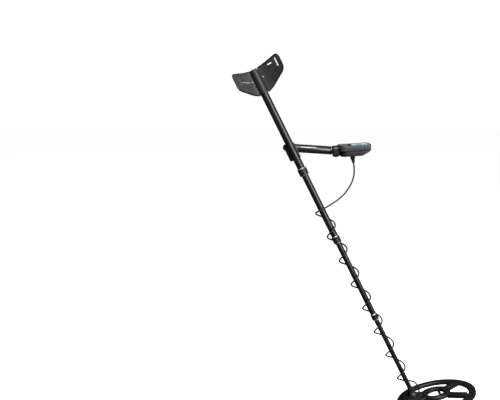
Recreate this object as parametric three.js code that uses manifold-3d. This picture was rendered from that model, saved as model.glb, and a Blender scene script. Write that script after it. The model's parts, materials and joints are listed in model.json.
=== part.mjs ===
// Metal detector: a four-section telescoping shaft with an arm cuff, a hand grip that carries a
// control box, a tilting search coil, and a cable wound round the shaft.
// Units are millimetres. +Z is up, +X points from the user's arm to the coil, +Y is the user's left.
// The origin is the middle of the hand grip, on the grip's axis.
import * as THREE from 'three';
import { mergeVertices } from 'three/addons/utils/BufferGeometryUtils.js';
import Module from 'manifold-3d';

const wasm = await Module();
wasm.setup();

// ---- driving dimensions -------------------------------------------------------------------
const GAP = 0.3;                                  // running gap between neighbouring pieces
const degrees = (value) => value * Math.PI / 180;

// shaft: distances along it are counted from the top of the upper tube
const SHAFT_TOP = new THREE.Vector3(-194.6, -26, 242.1);
const SHAFT_SLOPE = degrees(63.43);               // below the horizontal
const SECTIONS = [
  { name: 'upper_tube', radius: 12, from: 0, to: 345 },
  { name: 'mid_tube_1', radius: 10.5, from: 275, to: 586 },
  { name: 'mid_tube_2', radius: 9, from: 530, to: 864 },
  { name: 'lower_tube', radius: 7.5, from: 806, to: 1127 },
];
const WALL = 1.2;
const NUTS = [
  { radius: 15, from: 333, to: 359 },
  { radius: 12.75, from: 573, to: 598.6 },
  { radius: 11.25, from: 853, to: 875 },
];
const PIVOT_AT = 1147;                            // coil hinge, along the shaft

// arm cuff
const CUFF_TURN = degrees(79);                    // its opening, turned from the plane of the handle
const SLEEVE_RADIUS = 15.5;
const SLEEVE_LENGTH = 75;
const CUFF_WALL = 3.4;

// handle and control box
const HANDLE_SLOPE = degrees(3.6);
const CORE_RADIUS = 9.5;
const GRIP_RADIUS = 13;
const BOX_TILT = degrees(4);
const BOX_AT = new THREE.Vector3(54, 0, -3.4);
const BOX_WIDTH = 105;
const BOX_BACK = 18;
const BOX_FRONT = 120;
const BOX_TOP = 14.7;
const BOX_PARTING = -2.5;
const BOX_BOTTOM = -19.2;
const HOUSING_WALL = 2.2;
const KEY_TRAVEL_TOP = 16.4;                      // top of a key that is not pressed

// cable
const CABLE_RADIUS = 2.5;
const CABLE_STEP = 16;
const CABLE_SEAMS = [594, 880, 1106];             // along the shaft
const WINDING_RADIUS = 19.7;
const WINDING_PITCH = 85.5;
const WINDING_SHIFT = -2.6;                       // the winding hangs a little to one side
const FIRST_FRONT = 466.5;                        // where the winding first crosses the shaft's front

// coil, measured from its hinge
const COIL_TILT = degrees(13.3);
const COIL_CENTRE = 72;
const COIL_TOP = -22.4;
const COIL_RADIUS = 127;
const BAND_WIDTH = 23;
const COIL_DEPTH = 10.5;
const COVER_DEPTH = 2;

// ---- materials ----------------------------------------------------------------------------
const finish = (color, roughness, metalness = 0) =>
  new THREE.MeshStandardMaterial({ color, roughness, metalness });
const MATERIALS = {
  tube: finish(0x151515, 0.32, 0.2),
  bright: finish(0xc9ccd0, 0.22, 0.9),
  plastic: finish(0x1b1b1c, 0.5),
  grey: finish(0x6f7072, 0.42),
  rubber: finish(0x101010, 0.8),
  bezel: finish(0x3a2a26, 0.3),
  lcd: finish(0xcfeaf6, 0.2),
  board: finish(0x1d5a35, 0.6),
  battery: finish(0x3b3f45, 0.5),
  copper: finish(0xb4653a, 0.4, 0.8),
  key: finish(0x58595b, 0.6),
};

// ---- geometry helpers ---------------------------------------------------------------------
const at = (x, y) => new THREE.Vector2(x, y);

// a turned piece about local Z, from [radius, height] corners in counter-clockwise order
function turned(corners, sides = 24) {
  const profile = corners.map(([radius, height]) => at(radius, height));
  if (corners[0][0] > 0) profile.push(profile[0].clone());
  return new THREE.LatheGeometry(profile, sides).rotateX(Math.PI / 2);
}

function rod(radius, from, to, sides = 24) {
  return turned([[0, from], [radius, from], [radius, to], [0, to]], sides);
}

function ring(inner, outer, from, to, sides = 24) {
  return turned([[inner, from], [outer, from], [outer, to], [inner, to]], sides);
}

function block(x0, x1, y0, y1, z0, z1) {
  return new THREE.BoxGeometry(x1 - x0, y1 - y0, z1 - z0)
    .translate((x0 + x1) / 2, (y0 + y1) / 2, (z0 + z1) / 2);
}

// a plate from an outline in local XY, between two heights
function plate(outline, from, to, curveSegments = 4) {
  return new THREE.ExtrudeGeometry(outline, { depth: to - from, bevelEnabled: false, curveSegments })
    .translate(0, 0, from);
}

function roundedOutline(x0, x1, y0, y1, r) {
  const shape = new THREE.Shape();
  shape.moveTo(x0 + r, y0);
  shape.lineTo(x1 - r, y0);
  shape.absarc(x1 - r, y0 + r, r, -Math.PI / 2, 0);
  shape.lineTo(x1, y1 - r);
  shape.absarc(x1 - r, y1 - r, r, 0, Math.PI / 2);
  shape.lineTo(x0 + r, y1);
  shape.absarc(x0 + r, y1 - r, r, Math.PI / 2, Math.PI);
  shape.lineTo(x0, y0 + r);
  shape.absarc(x0 + r, y0 + r, r, Math.PI, Math.PI * 1.5);
  return shape;
}

// geometry to solid and back, for cuts and joins
function solid(geometry) {
  const plain = geometry.clone();
  plain.deleteAttribute('normal');
  plain.deleteAttribute('uv');
  const merged = mergeVertices(plain, 1e-4);
  return new wasm.Manifold(new wasm.Mesh({
    numProp: 3,
    vertProperties: new Float32Array(merged.attributes.position.array),
    triVerts: new Uint32Array(merged.index.array),
  }));
}

function geometryOf(body) {
  const mesh = body.getMesh();
  const geometry = new THREE.BufferGeometry();
  geometry.setAttribute('position', new THREE.BufferAttribute(new Float32Array(mesh.vertProperties), 3));
  geometry.setIndex(new THREE.BufferAttribute(new Uint32Array(mesh.triVerts), 1));
  geometry.computeVertexNormals();
  return geometry;
}

const join = (...pieces) => pieces.map(solid).reduce((all, next) => all.add(next));
const cut = (body, ...tools) => tools.map(solid).reduce((left, tool) => left.subtract(tool), body);

function addPart(group, name, geometry, material) {
  const mesh = new THREE.Mesh(geometry, MATERIALS[material]);
  mesh.name = name;
  group.add(mesh);
}

// ---- shaft frame: local Z runs down the shaft, local X to the handle's side, local Y to the right hand
function shaftFrame() {
  const down = new THREE.Vector3(Math.cos(SHAFT_SLOPE), 0, -Math.sin(SHAFT_SLOPE));
  const side = new THREE.Vector3(Math.sin(SHAFT_SLOPE), 0, Math.cos(SHAFT_SLOPE));
  const right = new THREE.Vector3(0, -1, 0);
  const group = new THREE.Group();
  group.quaternion.setFromRotationMatrix(new THREE.Matrix4().makeBasis(side, right, down));
  group.position.copy(SHAFT_TOP);
  group.updateMatrix();
  return group;
}

function tubes() {
  const group = new THREE.Group();
  for (const { name, radius, from, to } of SECTIONS) {
    addPart(group, name, ring(radius - WALL, radius, from, to), 'tube');
  }
  const plug = SECTIONS[0].radius - WALL - GAP;
  const cap = SECTIONS[0].radius;
  addPart(group, 'tube_end_cap', turned([
    [0, -4.5], [cap - 3, -4.5], [cap, -2], [cap, -GAP], [plug, -GAP], [plug, 9], [0, 9],
  ]), 'rubber');
  return group;
}

// a twist-lock collar: it sits over the end of one section and grips the next through a split collet
function twistLock(index) {
  const group = new THREE.Group();
  const { radius, from, to } = NUTS[index];
  const outerTube = SECTIONS[index];
  const innerTube = SECTIONS[index + 1];
  const overOuter = outerTube.radius + GAP;
  const overInner = innerTube.radius + GAP;
  const chamfer = 2.2;
  const lip = 5;
  addPart(group, `lock_nut_${index + 1}`, turned([
    [overOuter, from], [radius - chamfer, from], [radius, from + chamfer],
    [radius, to - chamfer], [radius - chamfer, to], [overInner, to], [overInner, to - lip],
    [overOuter, to - lip],
  ]), 'plastic');
  const start = outerTube.to + GAP;
  const body = solid(ring(overInner, outerTube.radius, start, to - lip - GAP));
  const split = block(0, outerTube.radius + 1, -0.8, 0.8, start - 1, to);
  addPart(group, `lock_collet_${index + 1}`, geometryOf(cut(body, split)), 'grey');
  return group;
}

// ---- arm cuff -----------------------------------------------------------------------------
// the wings' section, seen along the shaft: a trough that opens towards +X
function cuffSection() {
  const middle = new THREE.CatmullRomCurve3([
    [60, -77], [46, -63.5], [32, -50], [18, -36.5], [6, -20], [0, 0],
    [6, 20], [18, 36.5], [32, 50], [46, 63.5], [60, 77],
  ].map(([x, y]) => new THREE.Vector3(x, y, 0)));
  const steps = 20;
  const inside = [];
  const outside = [];
  for (let i = 0; i <= steps; i++) {
    const point = middle.getPoint(i / steps);
    const tangent = middle.getTangent(i / steps);
    const across = at(tangent.y, -tangent.x).multiplyScalar(CUFF_WALL / 2);
    inside.push(at(point.x + across.x, point.y + across.y));
    outside.unshift(at(point.x - across.x, point.y - across.y));
  }
  return new THREE.Shape([...inside, ...outside]);
}

// the cuff's outline seen from its side: X is its height over the shaft, Y runs along the shaft
function cuffSideOutline() {
  const shape = new THREE.Shape();
  shape.moveTo(-30, -2);
  shape.lineTo(2, -2);
  shape.lineTo(50, -14);
  shape.quadraticCurveTo(62.5, -17, 63, -6);
  shape.lineTo(63, 22);
  shape.quadraticCurveTo(63.5, 31, 54, 38.5);
  shape.lineTo(6, 75);
  shape.lineTo(-30, 76);
  return shape;
}

function armCuff() {
  const group = new THREE.Group();
  group.rotation.z = CUFF_TURN;
  const trough = solid(plate(cuffSection(), -20, 90));
  const side = solid(plate(cuffSideOutline(), -100, 100).rotateX(Math.PI / 2));
  const sleeve = solid(rod(SLEEVE_RADIUS, 0, SLEEVE_LENGTH));
  const bore = rod(SECTIONS[0].radius + GAP, -30, 100);
  const screwHole = rod(2.3, 0, 30, 16).rotateY(-Math.PI / 2).translate(0, 0, 55);
  const through = (corners, from, to) =>
    plate(new THREE.Shape(corners.map(([x, z]) => at(x, z))), from, to).rotateX(Math.PI / 2);
  const rivetHole = (y) => rod(1.8, -20, 30, 12).rotateY(Math.PI / 2).translate(0, y, 29);
  const slots = [
    block(42.6, 46.2, 46, 78, 2, 24),
    through([[9.8, 25.8], [40, 12.7], [40, 16.7], [9.8, 29.8]], -75, -18),
    block(38, 60, -67.8, -64.2, -7, 20),
    through([[22, 0.2], [38, 0.2], [38, 3.8], [22, 3.8]], 18, 75),
    through([[25, 36.3], [44, 23], [44, 25.8], [25, 39.1]], 18, 75),
    rivetHole(19), rivetHole(-19),
  ];
  const body = cut(trough.intersect(side).add(sleeve), bore, screwHole, ...slots);
  addPart(group, 'arm_cuff', geometryOf(body), 'plastic');
  const head = SLEEVE_RADIUS + GAP;
  addPart(group, 'cuff_screw', turned([
    [0, 12.6], [2, 12.6], [2, head], [5, head], [5, head + 2], [3.5, head + 3.2], [0, head + 3.2],
  ], 16).rotateY(-Math.PI / 2).translate(0, 0, 55), 'bright');
  return group;
}

// ---- handle -------------------------------------------------------------------------------
// Built in the shaft's frame, because it clamps to the shaft. The handle's axis crosses behind it.
function handleBracket(shaft, handle) {
  const group = new THREE.Group();
  const toShaft = shaft.matrix.clone().invert().multiply(handle.matrix);
  const core = rod(CORE_RADIUS + GAP, -150, 100).rotateY(Math.PI / 2).applyMatrix4(toShaft);
  const collar = rod(GRIP_RADIUS + 1, -66.5, 20).rotateY(Math.PI / 2).applyMatrix4(toShaft);
  const cap = rod(11, -130, -89.5).rotateY(Math.PI / 2).applyMatrix4(toShaft);
  const saddle = rod(SECTIONS[0].radius + GAP, 200, 340);
  const body = solid(plate(roundedOutline(-21, 15, -41, -8, 5), 254, 303));
  const screws = [-11, 6];
  const holes = screws.map((x) => rod(2.3, 0, 30, 16).rotateX(Math.PI / 2).translate(x, -14.5, 294));
  addPart(group, 'handle_bracket', geometryOf(cut(body, core, collar, cap, saddle, ...holes)), 'grey');
  screws.forEach((x, i) => {
    addPart(group, `bracket_screw_${i + 1}`, turned([
      [0, -25], [2, -25], [2, GAP], [4, GAP], [4, 2], [2.8, 3], [0, 3],
    ], 16).rotateX(Math.PI / 2).translate(x, -41, 294), 'bright');
  });
  return group;
}

function handleFrame() {
  const group = new THREE.Group();
  group.rotation.y = HANDLE_SLOPE;
  group.updateMatrix();
  return group;
}

function handle(group) {
  const along = (geometry) => geometry.rotateY(Math.PI / 2);
  addPart(group, 'handle_core', along(ring(CORE_RADIUS - 1.5, CORE_RADIUS, -92, 70)), 'tube');
  addPart(group, 'grip_sleeve', along(turned([
    [CORE_RADIUS + GAP, -51.7], [GRIP_RADIUS - 1, -51.7], [GRIP_RADIUS, -50.7],
    [GRIP_RADIUS, 52.6], [CORE_RADIUS + GAP, 52.6],
  ])), 'rubber');
  addPart(group, 'handle_collar', along(turned([
    [CORE_RADIUS + GAP, -66], [GRIP_RADIUS - 0.6, -66], [GRIP_RADIUS + 0.4, -65],
    [GRIP_RADIUS + 0.4, -53], [GRIP_RADIUS - 0.6, -52], [CORE_RADIUS + GAP, -52],
  ])), 'plastic');
  const plug = CORE_RADIUS - 1.5 - GAP;
  addPart(group, 'handle_end_cap', along(turned([
    [0, -102], [4, -101.6], [7.5, -99.6], [9.4, -96.5], [10, -93], [10, -92.3], [plug, -92.3],
    [plug, -84], [0, -84],
  ])), 'grey');
  return group;
}

// ---- control box --------------------------------------------------------------------------
// Plan outlines are in the box's own XY: X runs from the grip to the box's far end, Y to the left.
function boxOutline(inset) {
  const half = BOX_WIDTH / 2 - inset;
  const back = BOX_BACK + inset;
  const shoulder = BOX_FRONT - 7 - inset;
  const crown = BOX_FRONT - inset;
  const waist = 33;
  const shape = new THREE.Shape();
  shape.moveTo(back, -waist + inset);
  shape.quadraticCurveTo(back + 3, -half, back + 20, -half);
  shape.lineTo(shoulder - 5, -half);
  shape.quadraticCurveTo(shoulder + 1, -half, shoulder + 2, -half + 8);
  shape.quadraticCurveTo(crown + 2, 0, shoulder + 2, half - 8);
  shape.quadraticCurveTo(shoulder + 1, half, shoulder - 5, half);
  shape.lineTo(back + 20, half);
  shape.quadraticCurveTo(back + 3, half, back, waist - inset);
  return shape;
}

const SOCKET_AT = 61;
const DOOR = { from: 27, to: 50, half: 21 };
const HOUSING_SCREWS = [[40, -44], [40, 44], [111, -32], [111, 32]];
const BEZEL = { from: 56, to: 114, half: 46.8 };
const LCD = { from: 59.5, to: 106, half: 41.3 };
const KEYS = [
  { name: 'key_power', x: 34, y: 30.4, length: 20, width: 9 },
  { name: 'key_mode', x: 42, y: 16.2, length: 11, width: 12.4 },
  { name: 'key_sensitivity', x: 42, y: 0, length: 11, width: 12.4 },
  { name: 'key_volume', x: 42, y: -16.2, length: 11, width: 12.4 },
  { name: 'key_pinpoint', x: 34, y: -30.4, length: 20, width: 9 },
  { name: 'key_backlight', x: 28, y: 16.2, length: 10, width: 12.4 },
  { name: 'key_down', x: 28, y: 0, length: 10, width: 12.4 },
  { name: 'key_up', x: 28, y: -16.2, length: 10, width: 12.4 },
];

function keyOutline({ x, y, length, width }, extra) {
  const halfLength = length / 2 + extra;
  const halfWidth = width / 2 + extra;
  return roundedOutline(x - halfLength, x + halfLength, y - halfWidth, y + halfWidth, 2.2 + extra);
}

function boxBase() {
  const shell = solid(plate(boxOutline(4), BOX_BOTTOM, BOX_PARTING));
  const hollow = plate(boxOutline(4 + HOUSING_WALL), BOX_BOTTOM + HOUSING_WALL, 40);
  // the underside rises towards the far end
  const slope = new THREE.Shape([at(80, -30), at(140, -30), at(140, 7), at(86, BOX_BOTTOM)]);
  const innerSlope = new THREE.Shape([at(60, -40), at(140, -40), at(140, 9.6), at(84, BOX_BOTTOM + 2.6)]);
  const toSide = (shape) => plate(shape, -80, 80).rotateX(Math.PI / 2);
  const cavity = solid(hollow).subtract(solid(toSide(innerSlope)));
  const posts = HOUSING_SCREWS.map(([x, y]) => rod(3.8, BOX_BOTTOM + 1, BOX_PARTING, 16).translate(x, y, 0));
  const outer = cut(shell, toSide(slope));
  let body = outer.subtract(cavity);
  for (const post of posts) body = body.add(solid(post).intersect(outer));
  const screwHoles = HOUSING_SCREWS.map(([x, y]) => rod(1.9, -30, 10, 12).translate(x, y, 0));
  const heads = HOUSING_SCREWS.map(([x, y], i) => rod(3.6, -30, screwSeat(i), 16).translate(x, y, 0));
  const door = plate(roundedOutline(DOOR.from - GAP, DOOR.to + GAP, -DOOR.half - GAP, DOOR.half + GAP, 2),
    -30, -10);
  const socketHole = rod(6.3, -30, 0, 24).translate(SOCKET_AT, 0, 0);
  return cut(body, ...screwHoles, ...heads, door, socketHole);
}

// depth of each screw's head seat: the far pair sits up the slope
function screwSeat(index) {
  return index < 2 ? BOX_BOTTOM + 3 : -4.8;
}

function boxFront() {
  const shell = solid(plate(boxOutline(0), BOX_PARTING + GAP, BOX_TOP));
  const hollow = plate(boxOutline(HOUSING_WALL), -10, BOX_TOP - 2.6);
  const bezelSeat = plate(roundedOutline(BEZEL.from - GAP, BEZEL.to + GAP, -BEZEL.half - GAP,
    BEZEL.half + GAP, 3), BOX_TOP - 1.2, BOX_TOP + 5);
  const window = plate(roundedOutline(LCD.from - 2, LCD.to + 2, -LCD.half - 2, LCD.half + 2, 1), 0, 20);
  const keyHoles = KEYS.map((key) => plate(keyOutline(key, GAP), 0, 20, 4));
  let body = cut(shell, hollow, bezelSeat, window, ...keyHoles);
  for (const [x, y] of HOUSING_SCREWS) {
    body = body.add(solid(ring(1.4, 3, BOX_PARTING + GAP, BOX_TOP - 2, 16).translate(x, y, 0)));
  }
  return body;
}

function controlBox() {
  const group = new THREE.Group();
  group.position.copy(BOX_AT);
  group.rotation.y = -BOX_TILT;
  group.updateMatrix();
  addPart(group, 'box_base', geometryOf(boxBase()), 'plastic');
  addPart(group, 'box_front', geometryOf(boxFront()), 'grey');

  // neck: a block from the grip to the housing, bored for the handle's core and for the phones socket
  const neckOutline = roundedOutline(-24, 24, BOX_BOTTOM, BOX_TOP - 1, 9);
  const neck = plate(neckOutline, 0.5, BOX_BACK - GAP).applyMatrix4(new THREE.Matrix4().makeBasis(
    new THREE.Vector3(0, 1, 0), new THREE.Vector3(0, 0, 1), new THREE.Vector3(1, 0, 0)));
  const toBox = group.matrix.clone().invert().multiply(handleFrame().matrix);
  const coreBore = rod(CORE_RADIUS + GAP, -100, 70 + GAP).rotateY(Math.PI / 2).applyMatrix4(toBox);
  const jackHole = rod(3.3, -40, -13, 20).translate(10, 0, 0);
  addPart(group, 'box_neck', geometryOf(cut(solid(neck), coreBore, jackHole)), 'plastic');
  addPart(group, 'headphone_jack', ring(1.75, 3, BOX_BOTTOM - 2.5, -13.3, 20).translate(10, 0, 0), 'bright');

  const lcdHole = roundedOutline(LCD.from, LCD.to, -LCD.half, LCD.half, 1);
  const bezel = roundedOutline(BEZEL.from, BEZEL.to, -BEZEL.half, BEZEL.half, 2.7);
  bezel.holes.push(lcdHole);
  addPart(group, 'display_bezel', plate(bezel, BOX_TOP - 1.2 + GAP, BOX_TOP), 'bezel');
  addPart(group, 'lcd_panel', plate(roundedOutline(LCD.from - 1.5, LCD.to + 1.5, -LCD.half - 1.5,
    LCD.half + 1.5, 1), BOX_TOP - 4.5, BOX_TOP - 1.2), 'lcd');
  addPart(group, 'circuit_board', plate(roundedOutline(46.5, 98, -46, 46, 2), 4, 5.6), 'board');
  addPart(group, 'speaker', turned([
    [0, -12], [9, -12], [9, -8], [15, -3], [15, -1.5], [0, -1.5],
  ], 24).translate(84, 0, 0), 'rubber');
  addPart(group, 'battery_pack', plate(roundedOutline(-16, 3, 25, 73, 3), -24, 24)
    .applyMatrix4(new THREE.Matrix4().makeBasis(
      new THREE.Vector3(0, 0, 1), new THREE.Vector3(1, 0, 0), new THREE.Vector3(0, 1, 0)))
    .scale(0.45, 1, 1).translate(14.5, 0, 0), 'battery');

  for (const key of KEYS) {
    const body = solid(plate(keyOutline(key, 0), 8, KEY_TRAVEL_TOP, 4));
    const flange = solid(plate(keyOutline(key, 0.6), 8, 9.5, 4));
    addPart(group, key.name, geometryOf(body.add(flange)), 'key');
  }
  HOUSING_SCREWS.forEach(([x, y], i) => {
    const seat = screwSeat(i);
    addPart(group, `housing_screw_${i + 1}`, turned([
      [0, seat - 2.2], [3.2, seat - 2.2], [3.2, seat - GAP], [1.1, seat - GAP], [1.1, 3], [0, 3],
    ], 12).translate(x, y, 0), 'bright');
  });
  const doorPlate = plate(roundedOutline(DOOR.from, DOOR.to, -DOOR.half, DOOR.half, 1.7),
    BOX_BOTTOM, BOX_BOTTOM + HOUSING_WALL);
  addPart(group, 'battery_door', doorPlate, 'plastic');

  // cable socket, with the plug's ring and its strain relief below
  const flange = BOX_BOTTOM - GAP;
  addPart(group, 'cable_socket', turned([
    [4, flange - 3], [8, flange - 3], [8, flange], [6, flange], [6, -12], [4, -12],
  ], 24).translate(SOCKET_AT, 0, 0), 'grey');
  return group;
}

// ---- cable --------------------------------------------------------------------------------
// Points of the route. The lead hangs from the box to the shaft; the winding is worked out.
const PLUG_AXIS = new THREE.Vector3(0.16, 0, -0.987).normalize();
const PLUG = { ring: 4, relief: 9.5, end: 24 };   // along that axis, from the box's underside
const LEAD = [
  [121.4, -0.4, -51], [122.4, -1.5, -64], [121, -4.5, -83], [111.5, -10.5, -109],
  [91.5, -20, -137], [67.5, -30, -156.5], [46, -38.5, -169.5],
];

// a point of the winding, by its angle from the handle's side; one turn takes one pitch
function windingPoint(angle, shaft) {
  const along = FIRST_FRONT + WINDING_PITCH * (angle - Math.PI / 2) / (2 * Math.PI) + 6 * Math.cos(angle);
  const x = WINDING_SHIFT + WINDING_RADIUS * Math.cos(angle);
  const y = WINDING_RADIUS * Math.sin(angle);
  return new THREE.Vector3(x, y, along).applyMatrix4(shaft.matrix);
}

function cableRoute(shaft, plug) {
  const onShaft = (x, y, along) => new THREE.Vector3(x, y, along).applyMatrix4(shaft.matrix);
  const points = [new THREE.Vector3(0, 0, PLUG.end + GAP).applyMatrix4(plug.matrix)];
  points.push(...LEAD.map(([x, y, z]) => new THREE.Vector3(x, y, z)));
  points.push(onShaft(13, 17.5, 476.5), onShaft(-4, 20, 476), onShaft(-17, 14.5, 477.5));
  const first = Math.PI;
  const last = Math.PI * 15.5;
  const stepsPerTurn = 12;
  const count = Math.round((last - first) / (2 * Math.PI) * stepsPerTurn);
  for (let i = 0; i <= count; i++) {
    points.push(windingPoint(first + (last - first) * i / count, shaft));
  }
  points.push(onShaft(12, -16.5, 1113.5), onShaft(21.5, -9, 1121), onShaft(24.5, -1, 1130));
  return points;
}

function cableTube(points) {
  const curve = new THREE.CatmullRomCurve3(points);
  const steps = Math.round(curve.getLength() / CABLE_STEP);
  const section = new THREE.Shape();
  section.absarc(0, 0, CABLE_RADIUS, 0, Math.PI * 2);
  return new THREE.ExtrudeGeometry(section, { extrudePath: curve, steps, curveSegments: 4 });
}

// The cable is four lengths, cut where it passes a joint of the shaft. Each runs on from the last.
function cable(shaft, plug, tailEnd) {
  const group = new THREE.Group();
  const route = cableRoute(shaft, plug);
  const whole = new THREE.CatmullRomCurve3([...route, ...tailEnd]);
  const length = whole.getLength();
  const along = new THREE.Vector3(0, 0, 1).transformDirection(shaft.matrix);
  const samples = 2000;
  const points = whole.getSpacedPoints(samples);
  const distances = points.map((point) => point.clone().sub(SHAFT_TOP).dot(along));
  const cuts = [0];
  for (const seam of CABLE_SEAMS) cuts.push(distances.findIndex((distance) => distance > seam));
  cuts.push(samples);
  const names = ['cable_upper', 'cable_middle', 'cable_lower', 'cable_tail'];
  names.forEach((name, i) => {
    const gap = Math.ceil(samples * GAP / 2 / length);
    const from = cuts[i] + (i > 0 ? gap : 0);
    const to = cuts[i + 1] - (i < 3 ? gap : 0);
    const stretch = points.slice(from, to + 1);
    const kept = Math.max(4, Math.round(stretch.length / 10));
    const thinned = [];
    for (let k = 0; k <= kept; k++) thinned.push(stretch[Math.round(k * (stretch.length - 1) / kept)]);
    addPart(group, name, cableTube(thinned), 'rubber');
  });
  return group;
}

// ---- coil ---------------------------------------------------------------------------------
function shaftFork() {
  const group = new THREE.Group();
  const tube = SECTIONS[3];
  const plug = tube.radius - WALL - GAP;
  const neck = rod(8.6, tube.to + GAP, PIVOT_AT - 12, 24);
  const stub = rod(plug, tube.to - 22, tube.to + 4, 24);
  const eye = rod(10, -6, 6, 28).rotateX(Math.PI / 2).translate(0, 0, PIVOT_AT);
  const web = block(-8, 8, -6, 6, PIVOT_AT - 16, PIVOT_AT);
  const hole = rod(4 + GAP, -20, 20, 24).rotateX(Math.PI / 2).translate(0, 0, PIVOT_AT);
  addPart(group, 'shaft_fork', geometryOf(cut(join(neck, stub, eye, web), hole)), 'plastic');
  return group;
}

function coilFrame(shaft) {
  const group = new THREE.Group();
  group.position.copy(new THREE.Vector3(0, 0, PIVOT_AT).applyMatrix4(shaft.matrix));
  group.rotation.y = -COIL_TILT;
  group.updateMatrix();
  return group;
}

const INNER_RING = { radius: 48, hole: 27.5, top: -13, bottom: -23.5 };
const WEB_BOTTOM = -30;
const EAR = { from: 9.2, to: 14.2, radius: 11 };
const GLAND_AT = 23;

function coilShell() {
  const bottom = COIL_TOP - COIL_DEPTH;
  const inner = COIL_RADIUS - BAND_WIDTH;
  const wall = 2.2;
  const band = turned([
    [inner + 2, bottom], [inner + wall + 1, bottom], [inner + wall + 1, COIL_TOP - wall],
    [COIL_RADIUS - wall, COIL_TOP - wall], [COIL_RADIUS - wall, bottom], [COIL_RADIUS - 1, bottom],
    [COIL_RADIUS, bottom + 2], [COIL_RADIUS, COIL_TOP - 3.5], [COIL_RADIUS - 1.4, COIL_TOP - 1.2],
    [COIL_RADIUS - 4, COIL_TOP], [inner + 4, COIL_TOP], [inner + 1.4, COIL_TOP - 1.2],
    [inner, COIL_TOP - 3.5], [inner, bottom + 2],
  ], 44);
  const hub = turned([
    [INNER_RING.hole, INNER_RING.bottom], [INNER_RING.radius, INNER_RING.bottom],
    [INNER_RING.radius, INNER_RING.top - 3], [INNER_RING.radius - 3, INNER_RING.top],
    [INNER_RING.hole + 3, INNER_RING.top], [INNER_RING.hole, INNER_RING.top - 3],
  ], 28);
  const bar = block(10, 16.5, -30, 30, INNER_RING.bottom, INNER_RING.top - 2);
  const spokes = [-34, 34].map((angle) => block(42, inner + 2, -9, 9, WEB_BOTTOM, INNER_RING.top - 2)
    .rotateZ(degrees(angle)));
  const webOutline = new THREE.Shape();
  webOutline.moveTo(-36, -28);
  webOutline.quadraticCurveTo(-66, -40, -90, -56);
  webOutline.lineTo(-103, -22);
  webOutline.lineTo(-103, 22);
  webOutline.lineTo(-90, 56);
  webOutline.quadraticCurveTo(-66, 40, -36, 28);
  const web = plate(webOutline, WEB_BOTTOM, INNER_RING.top);
  const toHinge = (geometry) => geometry.translate(COIL_CENTRE, 0, 0);
  const flat = [band, hub, bar, ...spokes, web].map(toHinge);
  const ears = [];
  for (const side of [-1, 1]) {
    const outline = new THREE.Shape();
    outline.moveTo(-21, INNER_RING.top - 2);
    outline.lineTo(-EAR.radius, 2);
    outline.absarc(0, 0, EAR.radius, Math.PI, 0, true);
    outline.lineTo(17, INNER_RING.top - 2);
    const from = side > 0 ? EAR.from : -EAR.to;
    ears.push(plate(outline, -from - (EAR.to - EAR.from), -from).rotateX(Math.PI / 2));
  }
  const pin = rod(4 + GAP, -30, 30, 24).rotateX(Math.PI / 2);
  const glandHole = rod(5 + GAP, -30, -10, 20).translate(GLAND_AT, 0, 0);
  return cut(join(...flat, ...ears), pin, glandHole);
}

function coil(group) {
  addPart(group, 'coil_shell', geometryOf(coilShell()), 'plastic');
  const top = COIL_TOP - COIL_DEPTH - GAP;
  const inner = COIL_RADIUS - BAND_WIDTH;
  const cover = turned([
    [inner + 4, top - COVER_DEPTH], [COIL_RADIUS - 3, top - COVER_DEPTH], [COIL_RADIUS - 1, top - 1],
    [COIL_RADIUS - 1, top], [inner + 2, top], [inner + 2, top - 1],
  ], 44).translate(COIL_CENTRE, 0, 0);
  addPart(group, 'coil_cover', cover, 'plastic');
  const winding = ring(inner + 6, inner + 14, COIL_TOP - 9, COIL_TOP - 3.5, 28).translate(COIL_CENTRE, 0, 0);
  addPart(group, 'coil_winding', winding, 'copper');
  addPart(group, 'coil_gland', turned([
    [CABLE_RADIUS + GAP, -29], [5, -29], [5, INNER_RING.top + GAP], [6.5, INNER_RING.top + GAP],
    [6.5, -10.5], [4.6, -6.5], [3.9, -5], [CABLE_RADIUS + GAP, -5],
  ], 20).translate(GLAND_AT, 0, 0), 'rubber');
  const across = (geometry) => geometry.rotateX(-Math.PI / 2);
  addPart(group, 'coil_bolt', across(turned([
    [0, -18.6], [7.4, -18.6], [7.4, -EAR.to - GAP], [4, -EAR.to - GAP], [4, 24], [0, 24],
  ], 6)), 'bright');
  for (const side of [-1, 1]) {
    const from = side > 0 ? 6 + GAP : -EAR.from + GAP;
    const to = side > 0 ? EAR.from - GAP : -6 - GAP;
    addPart(group, `pivot_washer_${side > 0 ? 'left' : 'right'}`, across(ring(4.4, 9, from, to, 24)), 'rubber');
  }
  addPart(group, 'coil_knob', across(turned([
    [4 + GAP, EAR.to + GAP], [9, EAR.to + GAP], [10.5, 17.5], [12.5, 19], [12.5, 27], [11, 28.5], [0, 28.5],
    [0, 24 + GAP], [4 + GAP, 24 + GAP],
  ], 12)), 'plastic');
  return group;
}

function plugFrame() {
  const group = new THREE.Group();
  group.quaternion.setFromUnitVectors(new THREE.Vector3(0, 0, 1), PLUG_AXIS);
  group.position.set(SOCKET_AT, 0, BOX_BOTTOM).applyAxisAngle(new THREE.Vector3(0, 1, 0), -BOX_TILT);
  group.position.add(BOX_AT);
  group.updateMatrix();
  return group;
}

function plugAndRelief(group) {
  const { ring: ringAt, relief, end } = PLUG;
  addPart(group, 'plug_ring', turned([
    [3.6, ringAt], [7, ringAt], [7.5, ringAt + 0.6], [7.5, relief - 0.6], [7, relief], [3.6, relief],
  ], 24), 'plastic');
  addPart(group, 'strain_relief', turned([
    [CABLE_RADIUS + GAP, relief + GAP], [6.6, relief + GAP], [6.2, relief + 3], [4.4, end - 1], [3.8, end],
    [CABLE_RADIUS + GAP, end],
  ], 20), 'rubber');
  return group;
}

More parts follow.
